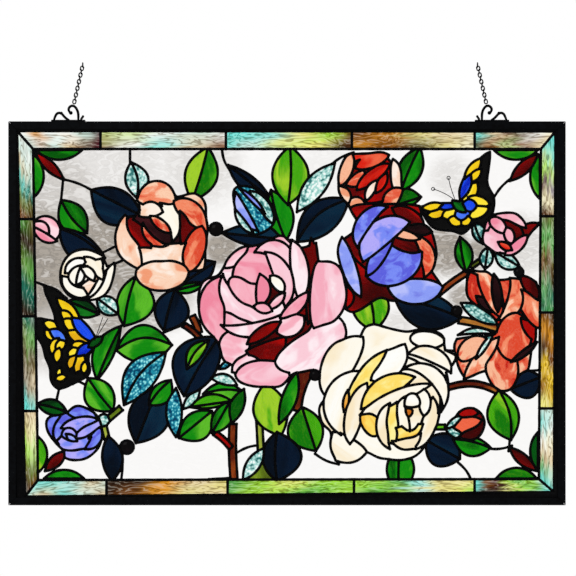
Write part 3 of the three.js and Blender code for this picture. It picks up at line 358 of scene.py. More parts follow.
# Each border strip: where its cuts fall from corner to corner, and for each piece the colours
# along its outer and inner side
strips = {
    "top": ([0, .155, .388, .622, .85, 1], [
        ("white amber white white ice wine", "ice white ice sand rust wine"),
        ("pear pear white ice white", "rust white aqua sand rust"),
        ("aqua aqua lemon lime rust", "aqua ice pear lemon umber"),
        ("rust amber straw sand cream", "amber rust umber straw cream"),
        ("aqua sand wine white cream", "olive rust pear rust sand")]),
    "right": ([0, .235, .502, .768, 1], [
        ("aqua aqua pear plum cream rust", "aqua pear lime wine cream umber"),
        ("moss green olive umber teal green", "olive green rust green teal"),
        ("umber amber rust gold gold lemon", "rust amber umber gold rust lemon"),
        ("ice white cream sand ice aqua", "ice aqua white sand green aqua")]),
    "bottom": ([0, .15, .378, .617, .846, 1], [
        ("aqua green lime straw umber umber aqua", "ice lime green lime wine rust aqua"),
        ("lime lemon straw ice lime green lime", "lemon straw straw aqua green lime lime"),
        ("lime green lime lime green", "lime lime lemon lime green"),
        ("sand straw amber rust umber", "lemon sand amber umber umber"),
        ("sand ice aqua sand ice", "ice sand ice aqua aqua")]),
    "left": ([0, .234, .493, .759, 1], [
        ("umber olive lime straw sand", "rust moss pear cream sand"),
        ("aqua umber olive moss teal", "aqua sand olive green teal"),
        ("umber teal moss umber green", "umber teal green umber olive"),
        ("rust moss aqua sand ice white", "umber olive teal ice white ice")]),
}

# Solder lines: sizes in metres and unevenness, then how cuts, wing cells and leaves are drawn
lines = {
    "half": 0.0021, "deep": 0.0026, "step": 0.0045, "sides": 8,
    "wobble": 0.05, "wander": 1.3, "jitter": 0.04, "sharp": math.radians(48),
    "cutReach": 3, "cellGrow": 2.1, "leafBlunt": 0.45,
}


def turned(flat):
    return Vector((-flat.y, flat.x))


def pairsRound(ring):
    return zip(ring, ring[1:] + ring[:1])


def heading(startX, startY, endX, endY):
    return place(endX, endY) - place(startX, startY)


def bladeLoop(startX, startY, endX, endY, left, right, blunt, count=9):
    # a leaf or a petal: two bowed sides between its ends
    start = place(startX, startY)
    chord = heading(startX, startY, endX, endY)
    across = turned(chord).normalized() * square
    loop = []
    for side, swell in ((-1, right), (1, left)):
        for i in range(count):
            t = i / count if side < 0 else 1 - i / count
            run = (1 - blunt) * t + blunt * (1 - math.cos(math.pi * t)) / 2
            loop.append(start + chord * run + across * (side * swell * math.sin(math.pi * t)))
    return loop


def arc(startX, startY, endX, endY, bow, count=7):
    start = place(startX, startY)
    chord = heading(startX, startY, endX, endY)
    across = turned(chord).normalized() * square
    line = []
    for i in range(count + 1):
        line.append(start + chord * (i / count) + across * (bow * math.sin(math.pi * i / count)))
    return line


def smoothLoop(corners, count=3):
    # a closed outline drawn softly through its corners
    spots = [place(*corner) for corner in corners]
    loop = []
    for i, b in enumerate(spots):
        a, c, d = spots[i - 1], spots[(i + 1) % len(spots)], spots[(i + 2) % len(spots)]
        slope, bend, twist = c - a, a * 2 - b * 5 + c * 4 - d, b * 3 - a - c * 3 + d
        for k in range(count):
            t = k / count
            loop.append((b * 2 + slope * t + bend * t ** 2 + twist * t ** 3) / 2)
    return loop


def bandLoop(startX, startY, endX, endY, half, bow):
    middle = arc(startX, startY, endX, endY, bow)
    across = turned(middle[-1] - middle[0]).normalized() * (half * square)
    return [p - across for p in middle] + [p + across for p in reversed(middle)]


def circleLoop(x, y, radius, count=18):
    middle = place(x, y)
    return [middle + Vector((math.cos(turn), math.sin(turn))) * (radius * square)
            for turn in (2 * math.pi * i / count for i in range(count))]


def between(a, b, share):
    return a[0] + (b[0] - a[0]) * share, a[1] + (b[1] - a[1]) * share


def stripQuads(side):
    # the pieces of one border strip, cut square across and mitred at its ends
    i = list(strips).index(side)
    a, b = stripCorners[i], stripCorners[(i + 1) % 4]
    c, d = fieldCorners[(i + 1) % 4], fieldCorners[i]
    axis = i % 2
    outer = [between(a, b, share) for share in strips[side][0]]
    inner = [d] + [between(d, c, (p[axis] - d[axis]) / (c[axis] - d[axis])) for p in outer[1:-1]] + [c]
    return [[*pair, *reversed(below)] for pair, below in zip(zip(outer, outer[1:]), zip(inner, inner[1:]))]


# Every shape of the cartoon, lowest first. The highest one that holds a place owns it.
shapes = []


def addShape(loop, piece, glass, flow=Vector((1, 0))):
    area = sum(a.x * b.y - b.x * a.y for a, b in pairsRound(loop))
    if area <= 0:
        loop = loop[::-1]
    shapes.append({"loop": loop, "piece": piece, "glass": glass, "flow": flow.normalized()})
    return len(shapes) - 1


def lengthened(startX, startY, endX, endY, more):
    chord = Vector((endX - startX, endY - startY)).normalized() * more
    return startX - chord.x, startY - chord.y, endX + chord.x, endY + chord.y


def grown(row, more):
    return (*lengthened(*row[:4], more), row[4] + more, row[5] + more, row[6])


def addBlade(row, piece, glass):
    return addShape(bladeLoop(*row), piece, glass, heading(*row[:4]))


ribs = []
addShape([place(*corner) for corner in plateCorners], "solder", "solder")
fieldShape = addShape([place(*corner) for corner in fieldCorners], "clear", "clear")
for *ends, bow in cuts:
    ribs.append((arc(*lengthened(*ends, lines["cutReach"]), bow), fieldShape))
for *ends, half, bow, glass in stems.values():
    addShape(bandLoop(*ends, half, bow), "stems", glass, heading(*ends))
for *row, glass in flowers["corner"]:
    addBlade(row, "corner", glass)
for name, (*row, bow, blunt, glass) in leaves.items():
    owner = addBlade((*row, blunt * lines["leafBlunt"]), name, glass)
    if bow is not None:
        ribs.append((arc(*row[:4], bow), owner))
for name, petals in flowers.items():
    if name in outlines:
        addShape(smoothLoop(outlines[name][1]), name, outlines[name][0])
    if name != "corner":
        for *row, glass in petals:
            addBlade(grown(row, lines["cellGrow"]) if "butterfly" in name else row, name, glass)
for jewel in jewels:
    addShape(circleLoop(*jewel), "jewel", "jewel")
for side in strips:
    for quad in stripQuads(side):
        addShape([place(*corner) for corner in quad], "strip", "strip")
print("cartoon", len(shapes), "shapes", len(ribs), "ribs")

# All outlines are cut into triangles at once, so that every crossing is found
corners, ringFaces, ribEdges, ribOwner = [], [], [], []
for shape in shapes:
    ringFaces.append(list(range(len(corners), len(corners) + len(shape["loop"]))))
    corners += shape["loop"]
for line, owner in ribs:
    first = len(corners)
    corners += line
    for i in range(first, first + len(line) - 1):
        ribEdges.append((i, i + 1))
        ribOwner.append(owner)
cut = delaunay_2d_cdt(corners, ribEdges, ringFaces, 0, 1e-6)
points, edges, triangles = cut[:3]
edgeFrom, triangleFrom = cut[4:]

owners = [max(found) if found else None for found in triangleFrom]
ribAt = {}
for edge, found in zip(edges, edgeFrom):
    ribAt[frozenset(edge)] = {ribOwner[k] for k in found if k < len(ribEdges)}
sides = {}
for t, triangle in enumerate(triangles):
    for a, b in pairsRound(triangle):
        sides.setdefault(frozenset((a, b)), []).append(t)


def isRib(edge, owner):
    return owner in ribAt.get(edge, ())


# Triangles that share an owner and no line between them make one piece of glass
regionOf = [None] * len(triangles)
regions = []
neighbours = {}
for edge, pair in sides.items():
    if len(pair) == 2 and owners[pair[0]] == owners[pair[1]] and not isRib(edge, owners[pair[0]]):
        neighbours.setdefault(pair[0], []).append(pair[1])
        neighbours.setdefault(pair[1], []).append(pair[0])
for t in range(len(triangles)):
    if regionOf[t] is None and owners[t] is not None:
        regionOf[t] = len(regions)
        members = [t]
        for member in members:
            for other in neighbours.get(member, ()):
                if regionOf[other] is None:
                    regionOf[other] = len(regions)
                    members.append(other)
        regions.append({"owner": owners[t], "members": members})

# A piece thinner or smaller than this, in squares, is a sliver and is joined to a neighbour
sliver = {"area": 10, "width": 3.0, "cellWidth": 1.6, "rounds": 6, "ownFlower": 3}
notCutGlass = ("strip", "solder", "jewel")


def shapeOf(region):
    return shapes[region["owner"]]


def triangleArea(t):
    a, b, c = (points[v] for v in triangles[t])
    return abs((b - a).cross(c - a)) / 2


def bordersOf(region):
    # length shared with each neighbour, None for the outside
    shared = {}
    for t in region["members"]:
        for a, b in pairsRound(triangles[t]):
            pair = sides[frozenset((a, b))]
            other = next((regionOf[p] for p in pair if p != t), None)
            if other != regionOf[t]:
                shared[other] = shared.get(other, 0) + (points[a] - points[b]).length
    return shared


# A sliver too thin to cut from glass goes to the neighbour it touches most, of its own flower where it can
for sweep in range(sliver["rounds"]):
    moved = 0
    for region in regions:
        if not region["members"] or shapeOf(region)["glass"] in notCutGlass:
            continue
        piece = shapeOf(region)["piece"]
        area = sum(triangleArea(t) for t in region["members"]) / square ** 2
        shared = bordersOf(region)
        width = 2 * area / (sum(shared.values()) / square)
        thinnest = sliver["cellWidth"] if piece.startswith("butterfly") else sliver["width"]
        if area >= sliver["area"] and width >= thinnest:
            continue
        worth = {}
        for other, length in shared.items():
            if other is not None and shapeOf(regions[other])["glass"] not in notCutGlass:
                same = shapeOf(regions[other])["piece"] == piece
                worth[other] = length * (sliver["ownFlower"] if same else 1)
        if worth:
            target = max(worth, key=worth.get)
            for t in region["members"]:
                regionOf[t] = target
            regions[target]["members"] += region["members"]
            region["members"] = []
            moved += 1
    print("slivers joined", moved)
    if not moved:
        break

# The lines: every edge between two pieces, and the ribs inside one
lineEdges = []
for edge, pair in sides.items():
    around = {regionOf[t] for t in pair}
    kinds = {shapeOf(regions[r])["glass"] for r in around if r is not None}
    owner = owners[pair[0]]
    within = len(pair) == 2 and len(around) == 1 and None not in around and owners[pair[1]] == owner
    if len(around) == 2 and kinds and kinds != {"solder"} or within and isRib(edge, owner):
        lineEdges.append(tuple(edge))
print("pieces of glass", sum(1 for r in regions if r["members"]), "line edges", len(lineEdges))

reach = {}
for a, b in lineEdges:
    reach.setdefault(a, []).append(b)
    reach.setdefault(b, []).append(a)
usedEdges = set()
runs = []


def isEnd(v):
    # where lines meet, stop or turn sharply
    if len(reach[v]) != 2:
        return True
    before, after = (points[other] for other in reach[v])
    return (points[v] - before).angle(after - points[v], 0) > lines["sharp"]


def walk(start, following):
    run = [start]
    here, ahead = start, following
    while frozenset((here, ahead)) not in usedEdges:
        usedEdges.add(frozenset((here, ahead)))
        run.append(ahead)
        if isEnd(ahead):
            break
        here, ahead = ahead, next(v for v in reach[ahead] if v != here)
    return run


for v in sorted(reach):
    if isEnd(v):
        for other in sorted(reach[v]):
            if frozenset((v, other)) not in usedEdges:
                runs.append(walk(v, other))
for a, b in lineEdges:
    if frozenset((a, b)) not in usedEdges:
        runs.append(walk(a, b))


def evenly(run):
    # the run in even steps, smoothed twice
    line = [points[v] for v in run]
    along = [0]
    for a, b in zip(line, line[1:]):
        along.append(along[-1] + (b - a).length)
    count = max(1, round(along[-1] / lines["step"]))
    even = [line[0]]
    at = 0
    for i in range(1, count):
        want = along[-1] * i / count
        while along[at + 1] < want:
            at += 1
        share = (want - along[at]) / max(along[at + 1] - along[at], 1e-9)
        even.append(line[at].lerp(line[at + 1], share))
    even.append(line[-1])
    for smoothing in range(2):
        softer = [(a + b * 2 + c) / 4 for a, b, c in zip(even, even[1:], even[2:])]
        even = [even[0]] + softer + [even[-1]]
    return even


def dress(piece, slot, *nodes):
    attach(piece, "root")
    if nodes:
        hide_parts(*nodes)
    return piece


def newPiece(name, mesh, slot, *nodes):
    piece = bpy.data.objects.new(name, mesh)
    bpy.context.scene.collection.objects.link(piece)
    return dress(piece, slot, *nodes)


def beadTube(build, line):
    # one soldered line: a flattened tube, a little uneven as hand work is
    rings = []
    wave = random.uniform(0, 6.3)
    for i, p in enumerate(line):
        step = line[min(i + 1, len(line) - 1)] - line[max(i - 1, 0)]
        across = turned(step.normalized() if step.length > 0 else Vector((1, 0)))
        wobble = 1 + lines["wobble"] * math.sin(wave + i * lines["wander"])
        wobble += random.uniform(-lines["jitter"], lines["jitter"])
        ring = []
        for k in range(lines["sides"]):
            turn = 2 * math.pi * k / lines["sides"]
            side = p + across * (lines["half"] * wobble * math.cos(turn))
            ring.append(build.verts.new((side.x, lines["deep"] * wobble * math.sin(turn), side.y)))
        rings.append(ring)
    for a, b in zip(rings, rings[1:]):
        for k in range(lines["sides"]):
            m = (k + 1) % lines["sides"]
            build.faces.new((a[k], a[m], b[m], b[k]))
    build.faces.new(rings[0][::-1])
    build.faces.new(rings[-1])


# The drop of solder where lines meet: shares of a line's size, and the angles of its rings
knot = {"size": 1.12, "sizes": (0.97, 1.12), "depths": (1.02, 1.1), "sides": 8, "lifts": (-0.75, 0, 0.75)}


def beadKnot(build, middle):
    size = lines["half"] * knot["size"] * random.uniform(*knot["sizes"])
    deep = lines["deep"] * random.uniform(*knot["depths"])
    columns = []
    for k in range(knot["sides"]):
        turn = 2 * math.pi * k / knot["sides"]
        column = []
        for lift in knot["lifts"]:
            x, z = size * math.cos(turn) * math.cos(lift), size * math.sin(turn) * math.cos(lift)
            column.append(build.verts.new((middle.x + x, deep * math.sin(lift), middle.y + z)))
        columns.append(column)
    for a, b in pairsRound(columns):
        for j in range(len(knot["lifts"]) - 1):
            build.faces.new((a[j], a[j + 1], b[j + 1], b[j]))
    build.faces.new([column[0] for column in columns])
    build.faces.new([column[-1] for column in reversed(columns)])


def finishMesh(build, name, smooth=False):
    bmesh.ops.recalc_face_normals(build, faces=build.faces)
    mesh = bpy.data.meshes.new(name)
    build.to_mesh(mesh)
    build.free()
    if smooth:
        mesh.shade_smooth()
    return mesh


def addRegion(build, members, half, layers=None, stamp=None):
    # one flat piece: front, back and the walls round it
    front, back = {}, {}
    inside = set(members)
    for t in members:
        for v in triangles[t]:
            if v not in front:
                front[v] = build.verts.new((points[v].x, -half, points[v].y))
                back[v] = build.verts.new((points[v].x, half, points[v].y))
    made = []
    for t in members:
        triangle = triangles[t]
        made.append(build.faces.new([front[v] for v in triangle]))
        made.append(build.faces.new([back[v] for v in reversed(triangle)]))
        for a, b in pairsRound(triangle):
            if not any(p != t and p in inside for p in sides[frozenset((a, b))]):
                made.append(build.faces.new((front[a], back[a], back[b], front[b])))
    if stamp:
        flow, tone, shift = stamp
        side = turned(flow)
        flowLayer, toneLayer = layers
        for face in made:
            for loop in face.loops:
                spot = Vector((loop.vert.co.x, loop.vert.co.z))
                loop[flowLayer].uv = (spot.dot(flow) + shift[0], spot.dot(side) + shift[1])
        for v in list(front.values()) + list(back.values()):
            v[toneLayer] = tone
    return made


# Solder: the beads, a knot where lines meet, and the flat edge lead inside the frame
build = bmesh.new()
for run in runs:
    beadTube(build, evenly(run))
for v in sorted(reach):
    if isEnd(v):
        beadKnot(build, points[v])
for region in regions:
    if region["members"] and shapeOf(region)["glass"] == "solder":
        addRegion(build, region["members"], panel["plateEdge"])
solderLines = newPiece("solderLines", finishMesh(build, "solderLines", True), "solder", "solder_lattice")
print("solder lines", len(runs), "runs", len(solderLines.data.polygons), "faces")

# Glass: each figure is one object made of its own cut pieces
nodeSlots = {row["node"]: row["material_slot"] for row in frame["record"]["subparts"]}


def nodeOf(piece):
    name = "".join("_" + letter.lower() if letter.isupper() else letter for letter in piece)
    return name if name in nodeSlots else None


def colour(red, green, blue):
    # a colour as seen on screen, made linear
    return tuple((c / 12.92 if c <= 0.04045 else ((c + 0.055) / 1.055) ** 2.4)
                 for c in (red / 255, green / 255, blue / 255)) + (1,)


def put(tree, kind, values=(), **settings):
    # a node with its settings, and its inputs set or linked
    made = tree.nodes.new(kind)
    for key, value in settings.items():
        setattr(made, key, value)
    for key, value in dict(values).items():
        if isinstance(value, bpy.types.NodeSocket):
            tree.links.new(value, made.inputs[key])
        else:
            made.inputs[key].default_value = value
    return made


def calc(tree, operation, *values):
    return put(tree, "ShaderNodeMath", enumerate(values), operation=operation).outputs[0]


def noise(tree, spot, scale, detail, distortion=0.0):
    values = {"Vector": spot, "Scale": scale, "Detail": detail, "Distortion": distortion}
    return put(tree, "ShaderNodeTexNoise", values).outputs[0]


def blend(tree, share, first, second, mode="MIX"):
    values = {0: share, 6: first, 7: second}
    return put(tree, "ShaderNodeMix", values, data_type="RGBA", blend_type=mode).outputs[2]


def band(tree, value, low, high, fromValue=0.0, toValue=1.0):
    values = {"Value": value, "From Min": low, "From Max": high, "To Min": fromValue, "To Max": toValue}
    return put(tree, "ShaderNodeMapRange", values, interpolation_type="SMOOTHSTEP").outputs["Result"]


def flowPlace(tree, stretch):
    # the piece's own flat map in metres, drawn out along its length
    flow = put(tree, "ShaderNodeUVMap", uv_map="flow").outputs["UV"]
    longer = put(tree, "ShaderNodeCombineXYZ", {"X": stretch, "Y": 1.0, "Z": 1.0}).outputs[0]
    return put(tree, "ShaderNodeVectorMath", {0: flow, 1: longer}, operation="MULTIPLY").outputs[0]


def newEffect(name, **amounts):
    # a group that mixes three colours over the surface, and gives a height for the bump
    tree = bpy.data.node_groups.new(name, "ShaderNodeTree")
    for label, grey in (("Dark", 0.0), ("Body", 0.5), ("Light", 1.0)):
        socket = tree.interface.new_socket(label, in_out="INPUT", socket_type="NodeSocketColor")
        socket.default_value = (grey, grey, grey, 1)
    for label, value in amounts.items():
        socket = tree.interface.new_socket(label, in_out="INPUT", socket_type="NodeSocketFloat")
        socket.default_value = value
    tree.interface.new_socket("Color", in_out="OUTPUT", socket_type="NodeSocketColor")
    tree.interface.new_socket("Height", in_out="OUTPUT", socket_type="NodeSocketFloat")
    return tree, tree.nodes.new("NodeGroupInput").outputs


def giveOut(tree, mixed, height):
    put(tree, "NodeGroupOutput", {"Color": mixed, "Height": height})


def toneOf(tree):
    return put(tree, "ShaderNodeAttribute", attribute_name="tone").outputs["Fac"]


# Streaky glass: clouds of three colours drawn out along the piece, with thin darker and lighter threads
streaky, given = newEffect("streakyGlass", Scale=30.0, Stretch=0.35, Threads=0.12, Clouds=1.0,
                           Fine=3.0, Across=0.0)
spot = flowPlace(streaky, given["Stretch"])
broad = noise(streaky, spot, given["Scale"], 3.0, 0.8)
fine = noise(streaky, spot, calc(streaky, "MULTIPLY", given["Scale"], given["Fine"]), 2.0, 2.0)
cloud = calc(streaky, "ADD", broad, calc(streaky, "MULTIPLY_ADD", toneOf(streaky), 0.3, -0.15))
cloud = calc(streaky, "ADD", cloud, -0.5)
cloud = calc(streaky, "MULTIPLY_ADD", cloud, given["Clouds"], 0.5)
mixed = blend(streaky, band(streaky, cloud, 0.30, 0.48), given["Dark"], given["Body"])
mixed = blend(streaky, band(streaky, cloud, 0.52, 0.72), mixed, given["Light"])
over = put(streaky, "ShaderNodeSeparateXYZ", {0: spot}).outputs["Y"]
ridge = calc(streaky, "MULTIPLY_ADD", fine, 30.0, calc(streaky, "MULTIPLY", over, given["Across"]))
ridge = calc(streaky, "SINE", ridge)
thread = calc(streaky, "MULTIPLY", band(streaky, ridge, -1.0, -0.25, 1.0, 0.0), given["Threads"])
crest = calc(streaky, "MULTIPLY", band(streaky, ridge, 0.6, 1.0, 0.0, 0.7), given["Threads"])
mixed = blend(streaky, crest, mixed, given["Light"])
giveOut(streaky, blend(streaky, thread, mixed, given["Dark"]), fine)

# Hammered glass: small round dimples, with painted shade at their edges and a painted highlight inside
hammered, given = newEffect("hammeredGlass", Scale=150.0, Stretch=0.8)
spot = flowPlace(hammered, given["Stretch"])
dimples = put(hammered, "ShaderNodeTexVoronoi", {"Vector": spot, "Scale": given["Scale"], "Smoothness": 0.6},
              feature="SMOOTH_F1").outputs["Distance"]
drift = noise(hammered, spot, 55.0, 3.0)
deep = calc(hammered, "ADD", dimples, calc(hammered, "MULTIPLY_ADD", drift, 0.9, -0.45))
deep = calc(hammered, "ADD", deep, calc(hammered, "MULTIPLY_ADD", toneOf(hammered), -0.16, 0.08))
# painted highlight in each dimple's middle, painted shade towards its edge; the drift and each piece's tone
# vary it at random
mixed = blend(hammered, band(hammered, deep, 0.18, 0.42), given["Light"], given["Body"])
giveOut(hammered, blend(hammered, band(hammered, deep, 0.48, 0.75), mixed, given["Dark"]), dimples)

# Rippled clear glass, with painted shade greying it round these places: x, y, reach and strength
shadedPlaces = [
    (25, 260, 95, 1), (60, 190, 60, .5), (110, 160, 90, .28), (115, 250, 80, .95), (48, 335, 50, .55),
    (152, 288, 60, .8), (222, 248, 26, 1), (200, 165, 60, .3), (330, 172, 50, .12), (452, 178, 34, .25),
    (446, 250, 36, 1), (476, 254, 22, .9), (462, 297, 20, .8), (520, 245, 45, .35), (398, 324, 20, .3),
    (110, 320, 34, .8),
]
rippled, given = newEffect("rippledGlass", Scale=45.0, Stretch=0.5)
spot = flowPlace(rippled, given["Stretch"])
here = put(rippled, "ShaderNodeTexCoord").outputs["Object"]
# tone here is the strength of the painted shade, highest round each place above
tone = 0.04
for x, y, farthest, strength in shadedPlaces:
    there = place(x, y)
    away = put(rippled, "ShaderNodeVectorMath", {0: here, 1: (there.x, 0, there.y)}, operation="DISTANCE")
    shadeNear = band(rippled, away.outputs["Value"], 0.35 * farthest * square, farthest * square, strength, 0.0)
    tone = calc(rippled, "MAXIMUM", tone, shadeNear)
waves = noise(rippled, spot, given["Scale"], 4.0, 2.2)
ridges = calc(rippled, "ABSOLUTE", calc(rippled, "ADD", waves, -0.5))
# painted shade: grey lines along the ripples and grey patches between them, weighted by that tone
grey = calc(rippled, "MULTIPLY", band(rippled, ridges, 0.0, 0.09, 1.0, 0.0), tone)
shadePatch = calc(rippled, "MULTIPLY", band(rippled, waves, 0.30, 0.62, 0.7, 1.15), tone)
mixed = blend(rippled, shadePatch, given["Light"], given["Body"])
giveOut(rippled, blend(rippled, calc(rippled, "MULTIPLY", grey, 0.35), mixed, given["Dark"]), waves)


def newMaterial(name):
    material = bpy.data.materials.new(name)
    material.use_nodes = True
    return material


def lay(material, effect, dark, body, light, rough, bump, relief, **amounts):
    # an effect's colour and relief on the material's own shader
    tree = material.node_tree
    shader = tree.nodes["Principled BSDF"]
    colours = {"Dark": dark, "Body": body, "Light": light}
    laid = put(tree, "ShaderNodeGroup", {**colours, **amounts}, node_tree=effect)
    raised = put(tree, "ShaderNodeBump",
                 {"Strength": bump, "Distance": relief, "Height": laid.outputs["Height"]})
    tree.links.new(laid.outputs["Color"], shader.inputs["Base Color"])
    tree.links.new(raised.outputs["Normal"], shader.inputs["Normal"])
    shader.inputs["Roughness"].default_value = rough
    return shader


def makeClear(shader):
    shader.inputs["Metallic"].default_value = 0.0
    shader.inputs["IOR"].default_value = 1.12
    shader.inputs["Transmission Weight"].default_value = 1.0


def glassMaterial(name, effect, dark, body, light, amounts):
    material = newMaterial(name + "Glass")
    settings = {"rough": 0.08, "bump": 0.25, "relief": 0.0006, **amounts}
    colours = colour(*dark), colour(*body), colour(*light)
    makeClear(lay(material, effect, *colours, **settings))
    return material


# Name: effect, dark, body, light, and what differs from the effect's own amounts
rose = {"Scale": 44.0, "Stretch": 0.6}
glassLooks = {
    "green": (streaky, (0, 84, 4), (14, 138, 12), (92, 186, 40), {"Clouds": 1.2}),
    "lime": (streaky, (16, 116, 6), (66, 166, 14), (160, 206, 44), {"Clouds": 1.2}),
    "forest": (streaky, (0, 40, 8), (0, 82, 14), (24, 128, 32), {}),
    "olive": (streaky, (66, 78, 14), (112, 140, 28), (176, 184, 74), {}),
    "navy": (streaky, (0, 8, 22), (2, 20, 42), (6, 40, 62), {"Scale": 18.0}),
    # teal and aqua are hammered: their light and dark colours are the painted highlight and shade of the
    # dimples
    "teal": (hammered, (4, 62, 96), (30, 138, 162), (150, 232, 232), {"Scale": 300.0}),
    "aqua": (hammered, (50, 118, 116), (168, 218, 210), (244, 253, 250), {"Scale": 300.0}),
    "cream": (streaky, (250, 232, 196), (255, 250, 236), (255, 255, 252), {"Threads": 0.08, "Scale": 22.0}),
    "peach": (streaky, (242, 156, 116), (252, 212, 184), (255, 240, 226),
              {"Threads": 0.1, "Scale": 46.0, "Stretch": 0.6, "Clouds": 1.4}),
    "salmon": (streaky, (222, 72, 44), (244, 138, 100), (254, 208, 176),
               {**rose, "Threads": 0.15, "Clouds": 1.7}),
    "coral": (streaky, (198, 34, 20), (230, 92, 62), (250, 186, 150),
              {**rose, "Threads": 0.15, "Clouds": 1.8}),
    "red": (streaky, (176, 12, 6), (220, 34, 18), (240, 104, 70), {"Clouds": 1.2}),
    "ruby": (streaky, (56, 0, 0), (100, 2, 2), (164, 4, 2), {"Clouds": 1.3}),
    "pink": (streaky, (240, 136, 160), (248, 176, 192), (255, 222, 230),
             {"Threads": 0.05, "Stretch": 0.5, "Clouds": 1.2}),
    "blush": (streaky, (246, 172, 190), (251, 204, 216), (255, 238, 243),
              {"Threads": 0.05, "Stretch": 0.5, "Clouds": 1.3}),
    "blue": (streaky, (92, 96, 222), (120, 140, 246), (180, 172, 250),
             {"Scale": 50.0, "Stretch": 0.7, "Clouds": 1.4}),
    "lilac": (streaky, (112, 120, 226), (140, 158, 246), (184, 192, 252),
              {"Scale": 40.0, "Stretch": 0.6, "Clouds": 1.4}),
    "yellow": (streaky, (226, 172, 20), (246, 208, 26), (255, 232, 60), {"Threads": 0.1}),
    "butter": (streaky, (250, 186, 60), (254, 222, 104), (255, 244, 160),
               {"Threads": 0.1, "Scale": 46.0, "Stretch": 0.6}),
    "amber": (streaky, (196, 104, 20), (236, 158, 48), (250, 204, 110), {}),
    "brown": (streaky, (84, 20, 6), (138, 58, 18), (186, 128, 50), {"Clouds": 1.3}),
    "plum": (streaky, (18, 4, 6), (34, 8, 12), (60, 18, 24), {}),
    "sky": (streaky, (8, 36, 186), (24, 74, 236), (90, 140, 252), {}),
    "black": (streaky, (3, 3, 3), (8, 8, 8), (16, 16, 16), {}),
    # clear: its dark and body colours are the painted shade of the rippled glass, its light colour the glass
    # itself
    "clear": (rippled, (96, 92, 88), (172, 164, 154), (253, 252, 251), {"bump": 0.5, "Scale": 80.0}),
}
glassMaterials = {name: glassMaterial(name, *look) for name, look in glassLooks.items()}

regionsOf = {}
for region in regions:
    shape = shapeOf(region)
    if region["members"] and shape["glass"] not in notCutGlass:
        piece = shape["piece"]
        if piece in leaves and not nodeOf(piece):
            piece = "smallLeaves"
        regionsOf.setdefault(piece, []).append(region)

# Pieces that are no node of their own: name, slot and the nodes they stand for
homes = {
    "clear": ("clearPanes", "glass_clear", ["pane_1"]), "smallLeaves": ("smallLeaves", "glass_green", []),
    "stems": ("stems", "glass_streaky", []), "corner": ("cornerFlowers", "glass_red", []),
}
for piece, own in regionsOf.items():
    node = nodeOf(piece)
    name, slot, nodes = homes[piece] if piece in homes else (piece, nodeSlots[node], [node])
    build = bmesh.new()
    layers = build.loops.layers.uv.new("flow"), build.verts.layers.float.new("tone")
    glasses = []
    for region in own:
        shape = shapeOf(region)
        stamp = shape["flow"], random.random(), (random.uniform(0, 3), random.uniform(0, 3))
        if shape["glass"] not in glasses:
            glasses.append(shape["glass"])
        for face in addRegion(build, region["members"], panel["glassHalf"], layers, stamp):
            face.material_index = glasses.index(shape["glass"])
    pane = newPiece(name, finishMesh(build, name), slot, *nodes)
    for glass in glasses:
        pane.data.materials.append(glassMaterials[glass])
print("glass", len(regionsOf), "objects")

# Border glass: a fine grid, stained along its outer and inner side by these
stains = {
    "cream": (248, 240, 200), "straw": (232, 222, 140), "white": (250, 252, 248), "ice": (206, 236, 226),
    "wine": (88, 30, 42), "moss": (112, 144, 60), "lime": (164, 226, 64), "aqua": (110, 226, 216),
    "sand": (228, 206, 164), "lemon": (246, 240, 130), "rust": (138, 82, 28), "olive": (96, 84, 26),
    "teal": (30, 112, 92), "amber": (222, 150, 40), "green": (86, 176, 76), "umber": (52, 32, 18),
    "pear": (206, 230, 150), "gold": (240, 200, 50), "plum": (150, 140, 150),
}
stripGrid = {"along": 40, "over": 8, "slant": 0.10, "waver": 0.10, "ripple": 9, "wide": 0.026}

stripGlass = newMaterial("stripGlass")
tree = stripGlass.node_tree
stain = put(tree, "ShaderNodeAttribute", attribute_name="stain").outputs["Color"]
darker = blend(tree, 1.0, stain, (0.26, 0.20, 0.13, 1), "MULTIPLY")
lighter = blend(tree, 0.40, stain, (1, 1, 0.86, 1))
makeClear(lay(stripGlass, streaky, darker, stain, lighter, rough=0.08, bump=0.4, relief=0.0008,
              Scale=42.0, Stretch=0.24, Threads=0.70, Clouds=0.45, Fine=1.5, Across=900.0))


def stopColour(stops, t):
    t *= len(stops) - 1
    share = (t % 1) ** 2 * (3 - 2 * (t % 1))
    return [low + (high - low) * share for low, high in zip(stops[int(t)], stops[int(t) + 1])]


